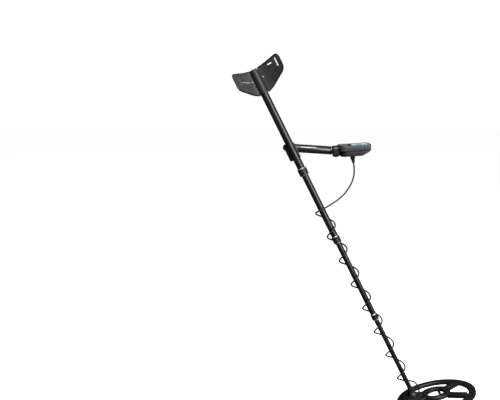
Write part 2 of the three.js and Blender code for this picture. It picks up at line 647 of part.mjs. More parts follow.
// ---- assembly -----------------------------------------------------------------------------
const detector = new THREE.Group();
const shaft = shaftFrame();
const grip = handleFrame();
const coilGroup = coilFrame(shaft);
shaft.add(tubes(), twistLock(0), twistLock(1), twistLock(2), armCuff(), handleBracket(shaft, grip), shaftFork());
handle(grip);
coil(coilGroup);
const tailEnd = [[GLAND_AT - 0.6, 0, 2], [GLAND_AT, 0, -4.5]]
  .map(([x, y, z]) => new THREE.Vector3(x, y, z).applyMatrix4(coilGroup.matrix));
const plug = plugFrame();
detector.add(shaft, grip, coilGroup, controlBox(), plugAndRelief(plug), cable(shaft, plug, tailEnd));

export default detector;
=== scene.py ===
# %% [markdown]
# # A metal detector, dressed for a product picture
# The working model is already made: every tube, joint and screw has its size and its place.
# This lesson gives each piece its finished surface: rounded edges, grooves, moulded plastic,
# lacquered tube, a display glass with a painted glow and a cable wound round the shaft. The model
# is only read, never moved, so the pieces made here go exactly where the working ones are.

# %% Load the working model
import json
import math

import bpy
from mathutils import Matrix, Vector


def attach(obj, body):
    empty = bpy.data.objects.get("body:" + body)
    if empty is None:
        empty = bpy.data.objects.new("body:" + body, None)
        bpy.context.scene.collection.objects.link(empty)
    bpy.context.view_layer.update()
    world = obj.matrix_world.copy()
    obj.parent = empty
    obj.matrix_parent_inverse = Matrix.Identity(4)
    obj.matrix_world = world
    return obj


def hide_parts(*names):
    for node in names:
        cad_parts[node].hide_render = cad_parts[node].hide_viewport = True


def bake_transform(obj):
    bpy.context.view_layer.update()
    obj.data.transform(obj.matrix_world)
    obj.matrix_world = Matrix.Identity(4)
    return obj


MM = 0.001
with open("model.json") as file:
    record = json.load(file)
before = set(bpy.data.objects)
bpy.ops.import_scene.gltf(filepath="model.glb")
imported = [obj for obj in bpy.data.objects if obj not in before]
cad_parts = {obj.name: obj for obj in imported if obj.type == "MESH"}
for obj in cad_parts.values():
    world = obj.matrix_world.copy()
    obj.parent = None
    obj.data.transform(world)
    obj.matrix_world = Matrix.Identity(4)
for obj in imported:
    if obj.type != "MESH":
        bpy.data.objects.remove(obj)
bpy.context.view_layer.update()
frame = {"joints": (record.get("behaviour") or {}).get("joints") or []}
joints = {joint["name"]: joint for joint in frame["joints"]}

# %% [markdown]
# ## Work benches
# Each group of pieces is easiest to model upright at the world's centre, then moved to its place.
# A bench is a matrix that does this move. The shaft's bench has Z running down the shaft, the
# coil's stands on its hinge, the box's lies in the box, the grip's runs along the handle and
# the plug's points down the lead. Joint axes say where the shaft, the hinge and the plug are.

# %% The benches
down_shaft = -Vector(joints["upper_section_slide"]["axis"]).normalized()
right_hand = Vector((0, -1, 0))
across_shaft = right_hand.cross(down_shaft)
shaft_top = Vector(joints["cuff_swivel"]["pos_m"])
hinge_point = Vector(joints["coil_tilt"]["pos_m"])
down_plug = Vector(joints["plug_ring_turn"]["axis"]).normalized()
press_direction = Vector(joints["key_mode_press"]["axis"]).normalized()


def bench_of(x_axis, y_axis, z_axis, origin):
    turn = Matrix((x_axis, y_axis, z_axis)).transposed().to_4x4()
    return Matrix.Translation(origin) @ turn


BOX_TILT = math.atan2(press_direction.x, -press_direction.z)
BOX_AT = Vector((54, 0, -3.4)) * MM
HANDLE_SLOPE = math.radians(3.6)
COIL_TILT = math.radians(13.3)
along_bore = Matrix.Rotation(math.pi / 2, 4, "Y")
on_its_side = Matrix.Rotation(math.pi / 2, 4, "X")

shaft_bench = bench_of(across_shaft, right_hand, down_shaft, shaft_top)
coil_bench = Matrix.Translation(hinge_point) @ Matrix.Rotation(-COIL_TILT, 4, "Y")
box_bench = Matrix.Translation(BOX_AT) @ Matrix.Rotation(-BOX_TILT, 4, "Y")
grip_bench = Matrix.Rotation(HANDLE_SLOPE, 4, "Y")
socket_point = box_bench @ (Vector((61, 0, -19.2)) * MM)
plug_bench = Matrix.Translation(socket_point) @ down_plug.to_track_quat("Z", "Y").to_matrix().to_4x4()
PIVOT_AT = (hinge_point - shaft_top).length / MM
print("hinge is", round(PIVOT_AT, 1), "mm down the shaft; box tilt", round(math.degrees(BOX_TILT), 2))

# %% [markdown]
# ## Camera
# The camera comes first, with the cable, because both decide how much of the picture the object
# takes. It stands a little over two and a half metres away, a little lower than the arm cuff,
# and looks slightly down.

# %% Camera
FOCAL_LENGTH = 60.5
CAMERA_AT = (-0.2048, -2.631, 0.1819)
LOOKING_DOWN = 7.4

camera_data = bpy.data.cameras.new("camera")
camera_data.lens = FOCAL_LENGTH
camera_data.sensor_width = 36
camera = bpy.data.objects.new("camera", camera_data)
camera.location = CAMERA_AT
camera.rotation_euler = (math.radians(90 - LOOKING_DOWN), 0, 0)
bpy.context.collection.objects.link(camera)
bpy.context.scene.camera = camera

# %% [markdown]
# ## The cable's route
# The lead hangs from the box and crosses the front of the shaft, and from there the cable goes
# round the shaft in loose turns until it loops over into the coil. The turns are a helix with a
# small swing, which gives each turn its drooping side loop. A smooth curve through the points
# is then walked in steps of two millimetres, so the tube made on it shows no corners.

# %% Points of the route
LEAD = [
    (121.4, -0.4, -51), (122.4, -1.5, -64), (121, -4.5, -83), (111.5, -10.5, -109),
    (91.5, -20, -137), (67.5, -30, -156.5), (46, -38.5, -169.5),
]
WINDING_RADIUS = 19.7
WINDING_PITCH = 85.5
WINDING_SHIFT = -2.6
FIRST_FRONT = 466.5
CABLE_RADIUS = 2.5
STEPS_PER_TURN = 12
FIRST_ANGLE = math.pi
LAST_ANGLE = math.pi * 15.5
GLAND_AT = 23
RELIEF_END = 24


def on_bench(bench, x, y, z):
    return bench @ (Vector((x, y, z)) * MM)


def winding_point(angle):
    along = FIRST_FRONT + WINDING_PITCH * (angle - math.pi / 2) / (2 * math.pi) + 6 * math.cos(angle)
    x = WINDING_SHIFT + WINDING_RADIUS * math.cos(angle)
    return on_bench(shaft_bench, x, WINDING_RADIUS * math.sin(angle), along)


def cable_points():
    points = [on_bench(plug_bench, 0, 0, RELIEF_END + 0.3)]
    points += [Vector(point) * MM for point in LEAD]
    for x, y, along in [(13, 17.5, 476.5), (-4, 20, 476), (-17, 14.5, 477.5)]:
        points.append(on_bench(shaft_bench, x, y, along))
    count = round((LAST_ANGLE - FIRST_ANGLE) / (2 * math.pi) * STEPS_PER_TURN)
    for step in range(count + 1):
        points.append(winding_point(FIRST_ANGLE + (LAST_ANGLE - FIRST_ANGLE) * step / count))
    for x, y, along in [(12, -16.5, 1113.5), (21.5, -9, 1121), (24.5, -1, 1130)]:
        points.append(on_bench(shaft_bench, x, y, along))
    points += [on_bench(coil_bench, GLAND_AT - 0.6, 0, 2), on_bench(coil_bench, GLAND_AT, 0, -4.5)]
    return points


def smooth_walk(points, step):
    """Points a step apart on a smooth curve through the given points."""
    padded = [points[0] * 2 - points[1]] + points + [points[-1] * 2 - points[-2]]
    dense = []
    for before, start, end, after in zip(padded, padded[1:], padded[2:], padded[3:]):
        count = max(2, round((end - start).length / step))
        leave = (end - before) / 2
        arrive = (after - start) / 2
        for i in range(count):
            t = i / count
            dense.append(
                start * (2 * t**3 - 3 * t**2 + 1) + leave * (t**3 - 2 * t**2 + t)
                + end * (3 * t**2 - 2 * t**3) + arrive * (t**3 - t**2)
            )
    return dense + [points[-1]]


route = smooth_walk(cable_points(), 2 * MM)
route_length = sum((b - a).length for a, b in zip(route, route[1:]))
print("cable length", round(route_length, 3), "m,", len(route), "points")

# %% [markdown]
# ## Finishes
# Nearly everything on a detector is black or dark grey, so the finishes have to differ in other
# ways: how glossy, how fine the moulding texture, how much handling shows. Three small node
# groups do that work and every material below places them with its own values. The moulded
# skin gives a fine bump and a slight mottling, the handling marks give rubbed, duller patches,
# and the scratches give long fine lines along a tube.

# %% Shared node groups
def new_group(name, inputs, outputs):
    group = bpy.data.node_groups.new(name, "ShaderNodeTree")
    for title, kind, value in inputs:
        socket = group.interface.new_socket(title, in_out="INPUT", socket_type=kind)
        socket.default_value = value
    for title, kind in outputs:
        group.interface.new_socket(title, in_out="OUTPUT", socket_type=kind)
    return group, group.nodes.new("NodeGroupInput"), group.nodes.new("NodeGroupOutput")


def node(tree, kind, **settings):
    made = tree.nodes.new(kind)
    for key, value in settings.items():
        setattr(made, key, value)
    return made


def set_inputs(made, values):
    for title, value in values.items():
        made.inputs[title].default_value = value


def noise(tree, scale, detail):
    made = node(tree, "ShaderNodeTexNoise")
    set_inputs(made, {"Scale": scale, "Detail": detail})
    return made


def remap(tree, source, low, high, to_low, to_high):
    ramp = node(tree, "ShaderNodeMapRange")
    for index, value in enumerate((low, high, to_low, to_high), start=1):
        ramp.inputs[index].default_value = value
    tree.links.new(source, ramp.inputs[0])
    return ramp.outputs[0]


def multiply(tree, first, second):
    product = node(tree, "ShaderNodeMath", operation="MULTIPLY")
    tree.links.new(first, product.inputs[0])
    tree.links.new(second, product.inputs[1])
    return product.outputs[0]


def moulded_skin_group():
    """Fine grain: a height for a bump, and a factor that mottles the colour."""
    group, start, end = new_group(
        "moulded_skin",
        [("Vector", "NodeSocketVector", (0, 0, 0)), ("Grain Scale", "NodeSocketFloat", 900.0)],
        [("Height", "NodeSocketFloat"), ("Mottle", "NodeSocketFloat")],
    )
    grain = node(group, "ShaderNodeTexNoise")
    grain.inputs["Detail"].default_value = 2.5
    pits = node(group, "ShaderNodeTexVoronoi")
    mottle = noise(group, 38, 5)
    for texture in (grain, pits, mottle):
        group.links.new(start.outputs["Vector"], texture.inputs["Vector"])
    for texture in (grain, pits):
        group.links.new(start.outputs["Grain Scale"], texture.inputs["Scale"])
    total = node(group, "ShaderNodeMath", operation="ADD")
    group.links.new(grain.outputs["Fac"], total.inputs[0])
    group.links.new(remap(group, pits.outputs["Distance"], 0, 0.7, 0, 0.5), total.inputs[1])
    group.links.new(total.outputs[0], end.inputs["Height"])
    group.links.new(remap(group, mottle.outputs["Fac"], 0.3, 0.7, 0, 1), end.inputs["Mottle"])
    return group


def handling_marks_group():
    """Rubbed patches and specks of dust: a mask from 0 to 1."""
    group, start, end = new_group(
        "handling_marks",
        [("Vector", "NodeSocketVector", (0, 0, 0)), ("Amount", "NodeSocketFloat", 0.3)],
        [("Rubbed", "NodeSocketFloat"), ("Dust", "NodeSocketFloat")],
    )
    patches = noise(group, 14, 6)
    patches.inputs["Roughness"].default_value = 0.65
    specks = noise(group, 420, 3)
    for texture in (patches, specks):
        group.links.new(start.outputs["Vector"], texture.inputs["Vector"])
    rubbed = remap(group, patches.outputs["Fac"], 0.46, 0.72, 0, 1)
    dust = remap(group, specks.outputs["Fac"], 0.62, 0.78, 0, 1)
    group.links.new(multiply(group, rubbed, start.outputs["Amount"]), end.inputs["Rubbed"])
    group.links.new(multiply(group, dust, start.outputs["Amount"]), end.inputs["Dust"])
    return group


def fine_scratches_group():
    """Long thin lines along the shaft, as sliding sections leave."""
    group, start, end = new_group(
        "fine_scratches",
        [("Vector", "NodeSocketVector", (0, 0, 0)), ("Depth", "NodeSocketFloat", 0.4)],
        [("Height", "NodeSocketFloat")],
    )
    turn = node(group, "ShaderNodeMapping")
    turn.inputs["Rotation"].default_value = (0, math.atan2(down_shaft.x, down_shaft.z), 0)
    turn.inputs["Scale"].default_value = (1, 1, 1)
    stretch = node(group, "ShaderNodeVectorMath", operation="MULTIPLY")
    stretch.inputs[1].default_value = (1400, 1400, 9)
    lines = noise(group, 1, 4)
    group.links.new(start.outputs["Vector"], turn.inputs["Vector"])
    group.links.new(turn.outputs["Vector"], stretch.inputs[0])
    group.links.new(stretch.outputs[0], lines.inputs["Vector"])
    group.links.new(multiply(group, lines.outputs["Fac"], start.outputs["Depth"]), end.inputs["Height"])
    return group


GROUPS = {
    "skin": moulded_skin_group(),
    "marks": handling_marks_group(),
    "scratches": fine_scratches_group(),
}
print("node groups:", [group.name for group in GROUPS.values()])

# %% [markdown]
# ## From groups to materials
# One function lays out the same chain for every finish: object position into the groups, the
# base colour mottled and dusted, the roughness raised where hands have rubbed, and the grain as
# a bump. Numbers that are the same all over a piece, such as the coat, go on the shader itself.

# %% Materials
def place_group(tree, key, position):
    made = node(tree, "ShaderNodeGroup", node_tree=GROUPS[key])
    tree.links.new(position, made.inputs["Vector"])
    return made


def mixed_colour(tree, factor, first, second):
    mix = node(tree, "ShaderNodeMix", data_type="RGBA")
    tree.links.new(factor, mix.inputs[0])
    if isinstance(first, tuple):
        mix.inputs[6].default_value = (*first, 1)
    else:
        tree.links.new(first, mix.inputs[6])
    mix.inputs[7].default_value = (*second, 1)
    return mix.outputs[2]


COAT_ROUGHNESS = 0.12


def finish(name, colour, roughness, grain=900, bump=0.15, metal=0.0, coat=0.0, marks=0.3,
           scratches=0.0, lift=1.5, dust=(0.3, 0.29, 0.27)):
    material = bpy.data.materials.new(name)
    material.use_nodes = True
    tree = material.node_tree
    shader = tree.nodes["Principled BSDF"]
    set_inputs(shader, {"Metallic": metal, "Coat Weight": coat, "Coat Roughness": COAT_ROUGHNESS})
    position = node(tree, "ShaderNodeTexCoord").outputs["Object"]
    skin = place_group(tree, "skin", position)
    skin.inputs["Grain Scale"].default_value = grain
    handled = place_group(tree, "marks", position)
    handled.inputs["Amount"].default_value = marks
    lighter = tuple(min(1.0, channel * lift + 0.002) for channel in colour)
    mottled = mixed_colour(tree, skin.outputs["Mottle"], colour, lighter)
    tree.links.new(mixed_colour(tree, handled.outputs["Dust"], mottled, dust), shader.inputs["Base Color"])
    rough = remap(tree, handled.outputs["Rubbed"], 0, 1, roughness, min(0.95, roughness + 0.3))
    tree.links.new(rough, shader.inputs["Roughness"])
    height = skin.outputs["Height"]
    if scratches:
        lines = place_group(tree, "scratches", position)
        lines.inputs["Depth"].default_value = scratches
        total = node(tree, "ShaderNodeMath", operation="ADD")
        tree.links.new(height, total.inputs[0])
        tree.links.new(lines.outputs["Height"], total.inputs[1])
        height = total.outputs[0]
    relief = node(tree, "ShaderNodeBump")
    relief.inputs["Strength"].default_value = bump
    relief.inputs["Distance"].default_value = 0.0003
    tree.links.new(height, relief.inputs["Height"])
    tree.links.new(relief.outputs["Normal"], shader.inputs["Normal"])
    return material


FINISHES = {
    "tube": finish("black_lacquered_tube", (0.0045, 0.0045, 0.005), 0.34, grain=700, bump=0.05,
                   coat=0.12, marks=0.05, scratches=0.4),
    "plastic": finish("black_moulded_plastic", (0.005, 0.005, 0.0055), 0.44, grain=1100, bump=0.2,
                      marks=0.14),
    "pad": finish("satin_cuff_plastic", (0.024, 0.024, 0.025), 0.5, grain=1100, bump=0.2, marks=0.14),
    "grey": finish("grey_moulded_plastic", (0.03, 0.031, 0.033), 0.42, grain=1300, bump=0.16, lift=1.12),
    "grip": finish("smooth_grip_sleeve", (0.009, 0.009, 0.01), 0.3, grain=500, bump=0.08, coat=0.5,
                   marks=0.12),
    "rubber": finish("soft_black_rubber", (0.007, 0.007, 0.0075), 0.62, grain=800, bump=0.3, marks=0.2),
    "cable": finish("black_cable_jacket", (0.003, 0.003, 0.0035), 0.55, grain=600, bump=0.08, marks=0.06),
    "bright": finish("polished_steel", (0.85, 0.86, 0.88), 0.45, grain=500, bump=0.04, metal=1.0,
                     marks=0.35, lift=1.05, dust=(0.2, 0.2, 0.2)),
    "dulled": finish("dulled_steel", (0.16, 0.16, 0.165), 0.5, grain=500, bump=0.06, metal=1.0, marks=0.3),
    "bezel": finish("brown_printed_face", (0.042, 0.024, 0.02), 0.16, grain=400, bump=0.02, coat=0.5,
                    marks=0.12),
    "lcd": finish("pale_display_glass", (0.62, 0.83, 0.93), 0.18, grain=2200, bump=0.02, coat=0.4,
                  marks=0.08, lift=1.03),
    "ink": finish("display_ink", (0.006, 0.006, 0.008), 0.35, grain=1500, bump=0.05, marks=0.05),
    "red_print": finish("red_print", (0.42, 0.012, 0.012), 0.3, grain=900, bump=0.03, coat=0.3, marks=0.08,
                        lift=1.1),
    "orange_print": finish("orange_print", (0.78, 0.27, 0.02), 0.3, grain=900, bump=0.03, coat=0.3,
                           marks=0.08, lift=1.05),
    "white_print": finish("white_print", (0.7, 0.7, 0.68), 0.4, grain=900, bump=0.03, marks=0.08, lift=1.02),
    "key": finish("silicone_keypad", (0.075, 0.076, 0.08), 0.55, grain=1600, bump=0.22, marks=0.35,
                  lift=1.15),
    "board": finish("lacquered_board", (0.012, 0.1, 0.04), 0.35, grain=500, bump=0.1),
    "battery": finish("battery_wrap", (0.05, 0.06, 0.08), 0.4, grain=700, bump=0.08),
    "copper": finish("enamelled_copper", (0.55, 0.22, 0.09), 0.3, grain=1800, bump=0.4, metal=0.9, lift=1.1),
}
# The display glass is given a painted glow: its emission stands in for the light that the glass catches, so
# it shows pale and bright.
display_painted_glow = FINISHES["lcd"].node_tree.nodes["Principled BSDF"]
set_inputs(display_painted_glow, {"Emission Color": (0.72, 0.9, 1, 1), "Emission Strength": 0.8})
print(len(FINISHES), "materials")

# %% [markdown]
# ## Tools of the workshop
# Three ways of making cover almost every piece. A turned piece starts as a circle that is
# extruded and scaled ring by ring, as on a lathe. A plate starts as a filled outline with its
# holes, given a thickness and a rounded edge. A block starts as a cube with its edges bevelled.
# Each tool leaves the new mesh upright at the world's centre; `settle` moves it to its bench,
# applies the move and names what it rides on.

# %% Making and placing
SMOOTH_ANGLE = math.radians(38)


def deselect():
    if bpy.context.object and bpy.context.object.mode != "OBJECT":
        bpy.ops.object.mode_set(mode="OBJECT")
    bpy.ops.object.select_all(action="DESELECT")


def select_only(piece):
    deselect()
    piece.select_set(True)
    bpy.context.view_layer.objects.active = piece


def apply_modifier(piece, kind, **settings):
    select_only(piece)
    modifier = piece.modifiers.new(kind.title(), kind)
    for key, value in settings.items():
        setattr(modifier, key, value)
    bpy.ops.object.modifier_apply(modifier=modifier.name)


def soften(piece, width, segments=2, angle=32):
    """Rounds every edge that turns by more than the angle."""
    apply_modifier(piece, "BEVEL", width=width * MM, segments=segments, limit_method="ANGLE",
                   angle_limit=math.radians(angle), harden_normals=False)


def clean(piece):
    select_only(piece)
    bpy.ops.object.mode_set(mode="EDIT")
    bpy.ops.mesh.select_all(action="SELECT")
    bpy.ops.mesh.remove_doubles(threshold=1e-6)
    bpy.ops.mesh.normals_make_consistent(inside=False)
    bpy.ops.object.mode_set(mode="OBJECT")


def settle(piece, bench, body, material, replaces=()):
    """Moves a finished mesh to its place, hangs it on its body and hides the working parts it stands for."""
    select_only(piece)
    piece.data.transform(bench @ piece.matrix_world)
    piece.matrix_world = Matrix.Identity(4)
    bpy.ops.object.shade_smooth_by_angle(angle=SMOOTH_ANGLE)
    piece.data.materials.clear()
    piece.data.materials.append(FINISHES[material])
    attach(piece, body)
    if replaces:
        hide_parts(*replaces)
    return piece


def turned(name, rings, sides=64, hollow=False):
    """A lathe piece about Z from (radius, height) rings. Hollow pieces close on their first ring."""
    deselect()
    first_radius, first_height = rings[0]
    bpy.ops.mesh.primitive_circle_add(vertices=sides, radius=first_radius * MM,
                                      fill_type="NOTHING" if hollow else "NGON",
                                      location=(0, 0, first_height * MM))
    piece = bpy.context.object
    piece.name = name
    bpy.ops.object.transform_apply(location=True, rotation=True, scale=True)
    bpy.ops.object.mode_set(mode="EDIT")
    bpy.ops.mesh.select_all(action="SELECT")
    following = rings[1:] + ([rings[0]] if hollow else [])
    radius, height = rings[0]
    for next_radius, next_height in following:
        bpy.ops.mesh.extrude_region_move(
            TRANSFORM_OT_translate={"value": (0, 0, (next_height - height) * MM)})
        ratio = next_radius / radius
        bpy.ops.transform.resize(value=(ratio, ratio, 1), center_override=(0, 0, 0))
        radius, height = next_radius, next_height
    bpy.ops.object.mode_set(mode="OBJECT")
    clean(piece)
    return piece


def block(name, low, high, rounding=0.6, segments=3):
    """A box between two corners, with its edges rounded."""
    deselect()
    low, high = Vector(low) * MM, Vector(high) * MM
    bpy.ops.mesh.primitive_cube_add(size=1, location=(low + high) / 2)
    piece = bpy.context.object
    piece.name = name
    piece.scale = high - low
    bpy.ops.object.transform_apply(location=True, rotation=True, scale=True)
    if rounding:
        soften(piece, rounding, segments)
    return piece


def arc(centre, radius, start, end, steps=8):
    """Points of an arc, angles in degrees."""
    return [
        (centre[0] + radius * math.cos(math.radians(start + (end - start) * i / steps)),
         centre[1] + radius * math.sin(math.radians(start + (end - start) * i / steps)))
        for i in range(steps + 1)
    ]


def bow(start, control, end, steps=10):
    """Points of a simple curve that leaves start and reaches end, pulled towards control."""
    return [
        tuple((1 - t) ** 2 * a + 2 * t * (1 - t) * b + t**2 * c for a, b, c in zip(start, control, end))
        for t in (i / steps for i in range(steps + 1))
    ]


def rounded(x0, x1, y0, y1, radius):
    return (
        arc((x1 - radius, y0 + radius), radius, -90, 0) + arc((x1 - radius, y1 - radius), radius, 0, 90)
        + arc((x0 + radius, y1 - radius), radius, 90, 180) + arc((x0 + radius, y0 + radius), radius, 180, 270)
    )


def circle_line(x, y, radius, steps=32):
    return arc((x, y), radius, 0, 360 - 360 / steps, steps - 1)


def signed_area(line):
    return sum(a[0] * b[1] - b[0] * a[1] for a, b in zip(line, line[1:] + line[:1])) / 2


def add_line(curve, points, closed):
    spline = curve.splines.new("POLY")
    spline.points.add(len(points) - 1)
    for target, point in zip(spline.points, points):
        target.co = (*point, 1)
    spline.use_cyclic_u = closed


def mesh_of_curve(name, curve):
    piece = bpy.data.objects.new(name, curve)
    bpy.context.collection.objects.link(piece)
    select_only(piece)
    bpy.ops.object.convert(target="MESH")
    piece = bpy.context.object
    piece.name = name
    return piece


def plate(name, outline, low, high, holes=(), rounding=0.5):
    """A flat piece with the given outline and holes between two heights, its edges rounded."""
    deselect()
    curve = bpy.data.curves.new(name, "CURVE")
    curve.dimensions = "2D"
    curve.fill_mode = "BOTH"
    curve.extrude = ((high - low) / 2 - rounding) * MM
    curve.bevel_depth = rounding * MM
    curve.bevel_resolution = 2
    curve.offset = -rounding * MM
    for index, line in enumerate([outline, *holes]):
        wants_positive = index == 0
        points = line if (signed_area(line) > 0) == wants_positive else line[::-1]
        add_line(curve, [(x * MM, y * MM, 0) for x, y in points], closed=True)
    piece = mesh_of_curve(name, curve)
    piece.data.transform(Matrix.Translation((0, 0, (low + high) / 2 * MM)))
    clean(piece)
    return piece


def cut_away(piece, *cutters):
    for cutter in cutters:
        apply_modifier(piece, "BOOLEAN", object=cutter, operation="DIFFERENCE", solver="EXACT")
        bpy.data.objects.remove(cutter)
    return piece

# %% [markdown]
# ## The shaft
# Four lacquered tubes slide into each other. Each is a plain turned sleeve with a small rounding
# at its ends, which catches the light where a section enters its lock. The black cap in the top
# end is turned solid.

# %% Tubes and end cap
SECTIONS = [
    ("upper_tube", "frame", 12, 0, 345),
    ("mid_tube_1", "mid_1", 10.5, 275, 586),
    ("mid_tube_2", "mid_2", 9, 530, 864),
    ("lower_tube", "lower", 7.5, 806, 1127),
]
WALL = 1.2
for section, body, radius, start, end in SECTIONS:
    sleeve = turned(
        "lacquered_" + section,
        [(radius - WALL, start), (radius - 0.4, start), (radius, start + 0.4),
         (radius, end - 0.4), (radius - 0.4, end), (radius - WALL, end)], 96, hollow=True)
    settle(sleeve, shaft_bench, body, "tube", [section])

cap_rings = [(10.5, 9), (10.5, -0.3), (12, -0.3), (12, -2.2), (11.2, -3.7), (9.4, -4.5)]
cap = turned("shaft_end_plug", cap_rings, 64)
soften(cap, 0.35)
settle(cap, shaft_bench, "frame", "rubber", ["tube_end_cap"])
print("tubes:", [section[0] for section in SECTIONS])

# %% [markdown]
# ## Twist locks
# Each lock is a short collar with rounded grip rings between two bright polished chamfers. The
# grip rings are one turned profile: a groove floor and a rounded crest, repeated down the collar.
# The chamfers are separate thin turned rings, because on the real collar they are bare metal.

# %% Lock collars
LOCKS = [(1, "nut_1", 15, 333, 359, 12, 10.5), (2, "nut_2", 12.75, 573, 598.6, 10.5, 9),
         (3, "nut_3", 11.25, 853, 875, 9, 7.5)]
CHAMFER = 2.6
CREST = [(0.14, -0.75), (0.26, -0.15), (0.42, 0), (0.58, 0), (0.74, -0.15), (0.86, -0.75)]


def lock_collar(number, body, radius, start, end, outer_tube, inner_tube):
    over_outer, over_inner, lip = outer_tube + 0.3, inner_tube + 0.3, 5
    grip_start, grip_end = start + CHAMFER, end - CHAMFER
    crests = 5
    pitch = (grip_end - grip_start) / crests
    rings = [(over_outer, grip_start), (radius - 0.9, grip_start)]
    for crest in range(crests):
        low = grip_start + crest * pitch
        for share, height in CREST:
            rings.append((radius + height, low + share * pitch))
    rings += [(radius - 0.9, grip_end), (over_inner, grip_end), (over_inner, end - lip),
              (over_outer, end - lip)]
    settle(turned(f"lock_{number}_grip", rings, 72, hollow=True), shaft_bench, body, "plastic",
           [f"lock_nut_{number}"])
    for name, low, high, inner, sign in (("upper", start, grip_start, over_outer, 1),
                                         ("lower", grip_end, end, over_inner, -1)):
        wide, narrow = radius - 0.3, radius - 2.4
        first, last = (narrow, wide) if sign > 0 else (wide, narrow)
        ring = turned(f"lock_{number}_{name}_chamfer",
                      [(inner, low + 0.02), (first - 0.3, low + 0.02), (first, low + 0.35),
                       (last, high - 0.35), (last - 0.3, high - 0.02), (inner, high - 0.02)], 72, hollow=True)
        settle(ring, shaft_bench, body, "bright")


for lock in LOCKS:
    lock_collar(*lock)
print("locks:", len(LOCKS))

# %% [markdown]
# ## The arm cuff
# The forearm rests in a moulded trough: two thin wings that sweep back from a sleeve round the
# shaft. A wing is a subdivided grid whose points are moved on to the trough's curve, then given
# its thickness, and its strap slots are cut through. A rounded bead runs round each wing's edge.

# %% Cuff
CUFF_TURN = math.radians(79)
SLEEVE_RADIUS = 15.5
WING_THICKNESS = 3.4
BEAD_RADIUS = 2.3
cuff_bench = shaft_bench @ Matrix.Rotation(CUFF_TURN, 4, "Z")
TROUGH = [(0, 0), (6, 20), (18, 36.5), (32, 50), (46, 63.5), (60, 77)]


def trough_point(share):
    """A point of the trough's section, from its middle (0) to a wing's tip (1)."""
    line = [(6, -20)] + TROUGH + [(74, 90.5)]
    reach = share * (len(TROUGH) - 1)
    index = min(int(reach), len(TROUGH) - 2)
    t = reach - index
    values = []
    for axis in (0, 1):
        a, b, c, d = (line[index + k][axis] for k in range(4))
        values.append(0.5 * (2 * b + (c - a) * t + (2 * a - 5 * b + 4 * c - d) * t * t
                             + (3 * b - a - 3 * c + d) * t**3))
    return values


def cuff_edges(height):
    """Where the wing starts and ends along the shaft, at a height over the trough's floor."""
    rear = -2 - 0.25 * height
    front = 76 - 0.76 * max(0, height - 4)
    return rear, front


def wing_point(side, share, place):
    """A point of a wing: share runs from the sleeve to the tip, place from the rear to the front."""
    corner, depth = (0.2, 0.09) if side > 0 else (0.28, 0.12)
    over = max(0, (abs(place - 0.5) - (0.5 - corner)) / corner)
    tip = 1 - depth * (1 - math.sqrt(max(0, 1 - over * over)))
    start = 0.135
    x, y = trough_point(start + (tip - start) * share)
    rear, front = cuff_edges(x)
    return Vector((x, side * y, rear + (front - rear) * place)) * MM


def wing_sheet(side):
    """The wing as a bare sheet: a grid moved on to the trough's curve, with a rounded tip."""
    deselect()
    bpy.ops.mesh.primitive_grid_add(x_subdivisions=40, y_subdivisions=28, size=1)
    sheet = bpy.context.object
    for vertex in sheet.data.vertices:
        vertex.co = wing_point(side, vertex.co.x + 0.5, vertex.co.y + 0.5)
    return sheet


def round_line(name, points, radius, resolution=3, closed=False):
    """A round bar along a line of points, as a mesh."""
    deselect()
    curve = bpy.data.curves.new(name, "CURVE")
    curve.dimensions = "3D"
    curve.bevel_depth = radius * MM
    curve.bevel_resolution = resolution
    curve.use_fill_caps = not closed
    add_line(curve, points, closed)
    bar = mesh_of_curve(name, curve)
    clean(bar)
    return bar


def edge_bead(name, side):
    """A round bead along the wing's free edges, from the sleeve round the tip and back."""
    line = [wing_point(side, i / 40, 0) for i in range(41)]
    line += [wing_point(side, 1, i / 30) for i in range(1, 31)]
    line += [wing_point(side, 1 - i / 40, 1) for i in range(1, 41)]
    return round_line(name, line, BEAD_RADIUS)


STRAP_SLOT = {1: ((42.6, 46, 2), (46.2, 78, 24)), -1: ((38, -67.8, -7), (60, -64.2, 20))}
SIDE_SLOTS = {
    1: [[(9.8, 25.8), (40, 12.7), (40, 16.7), (9.8, 29.8)]],
    -1: [[(22, 0.2), (38, 0.2), (38, 3.8), (22, 3.8)], [(25, 36.3), (44, 23), (44, 25.8), (25, 39.1)]],
}
for side, label in ((-1, "right"), (1, "left")):
    sheet = wing_sheet(side)
    bead = edge_bead(f"cuff_bead_{label}", side)
    sheet.name = f"cuff_wing_{label}"
    apply_modifier(sheet, "SOLIDIFY", thickness=WING_THICKNESS * MM, offset=0)
    clean(sheet)
    slots = [block("strap_slot", *STRAP_SLOT[side], 1.2)]
    for corners in SIDE_SLOTS[side]:
        slot = plate("side_slot", corners, *((-75, -18) if side > 0 else (18, 75)), rounding=0)
        slot.data.transform(on_its_side)
        slots.append(slot)
    hole = turned("rivet_hole", [(1.8, -20), (1.8, 30)], 24)
    hole.data.transform(Matrix.Translation((0, side * 19 * MM, 29 * MM)) @ along_bore)
    cut_away(sheet, *slots, hole)
    stands_for = ["arm_cuff"] if side < 0 else []
    settle(sheet, cuff_bench, "cuff", "pad", stands_for)
    settle(bead, cuff_bench, "cuff", "plastic")

sleeve = turned("cuff_sleeve", [(12.3, 0), (14.6, 0), (15.5, 0.9), (15.5, 74.1), (14.6, 75), (12.3, 75)],
                80, hollow=True)
settle(sleeve, cuff_bench, "cuff", "plastic")
for height, name in ((6, "rear"), (66, "front")):
    band = turned(f"cuff_band_{name}", [(15.3, height), (16.3, height + 0.5), (16.3, height + 3.5),
                                        (15.3, height + 4)], 80, hollow=True)
    settle(band, cuff_bench, "cuff", "plastic")

# %% [markdown]
# ## Screws
# Every screw head is the same dome with a cross recess. The dome is turned, and the recess is cut
# with two crossed bars. One function sinks it to the right depth on any bench.

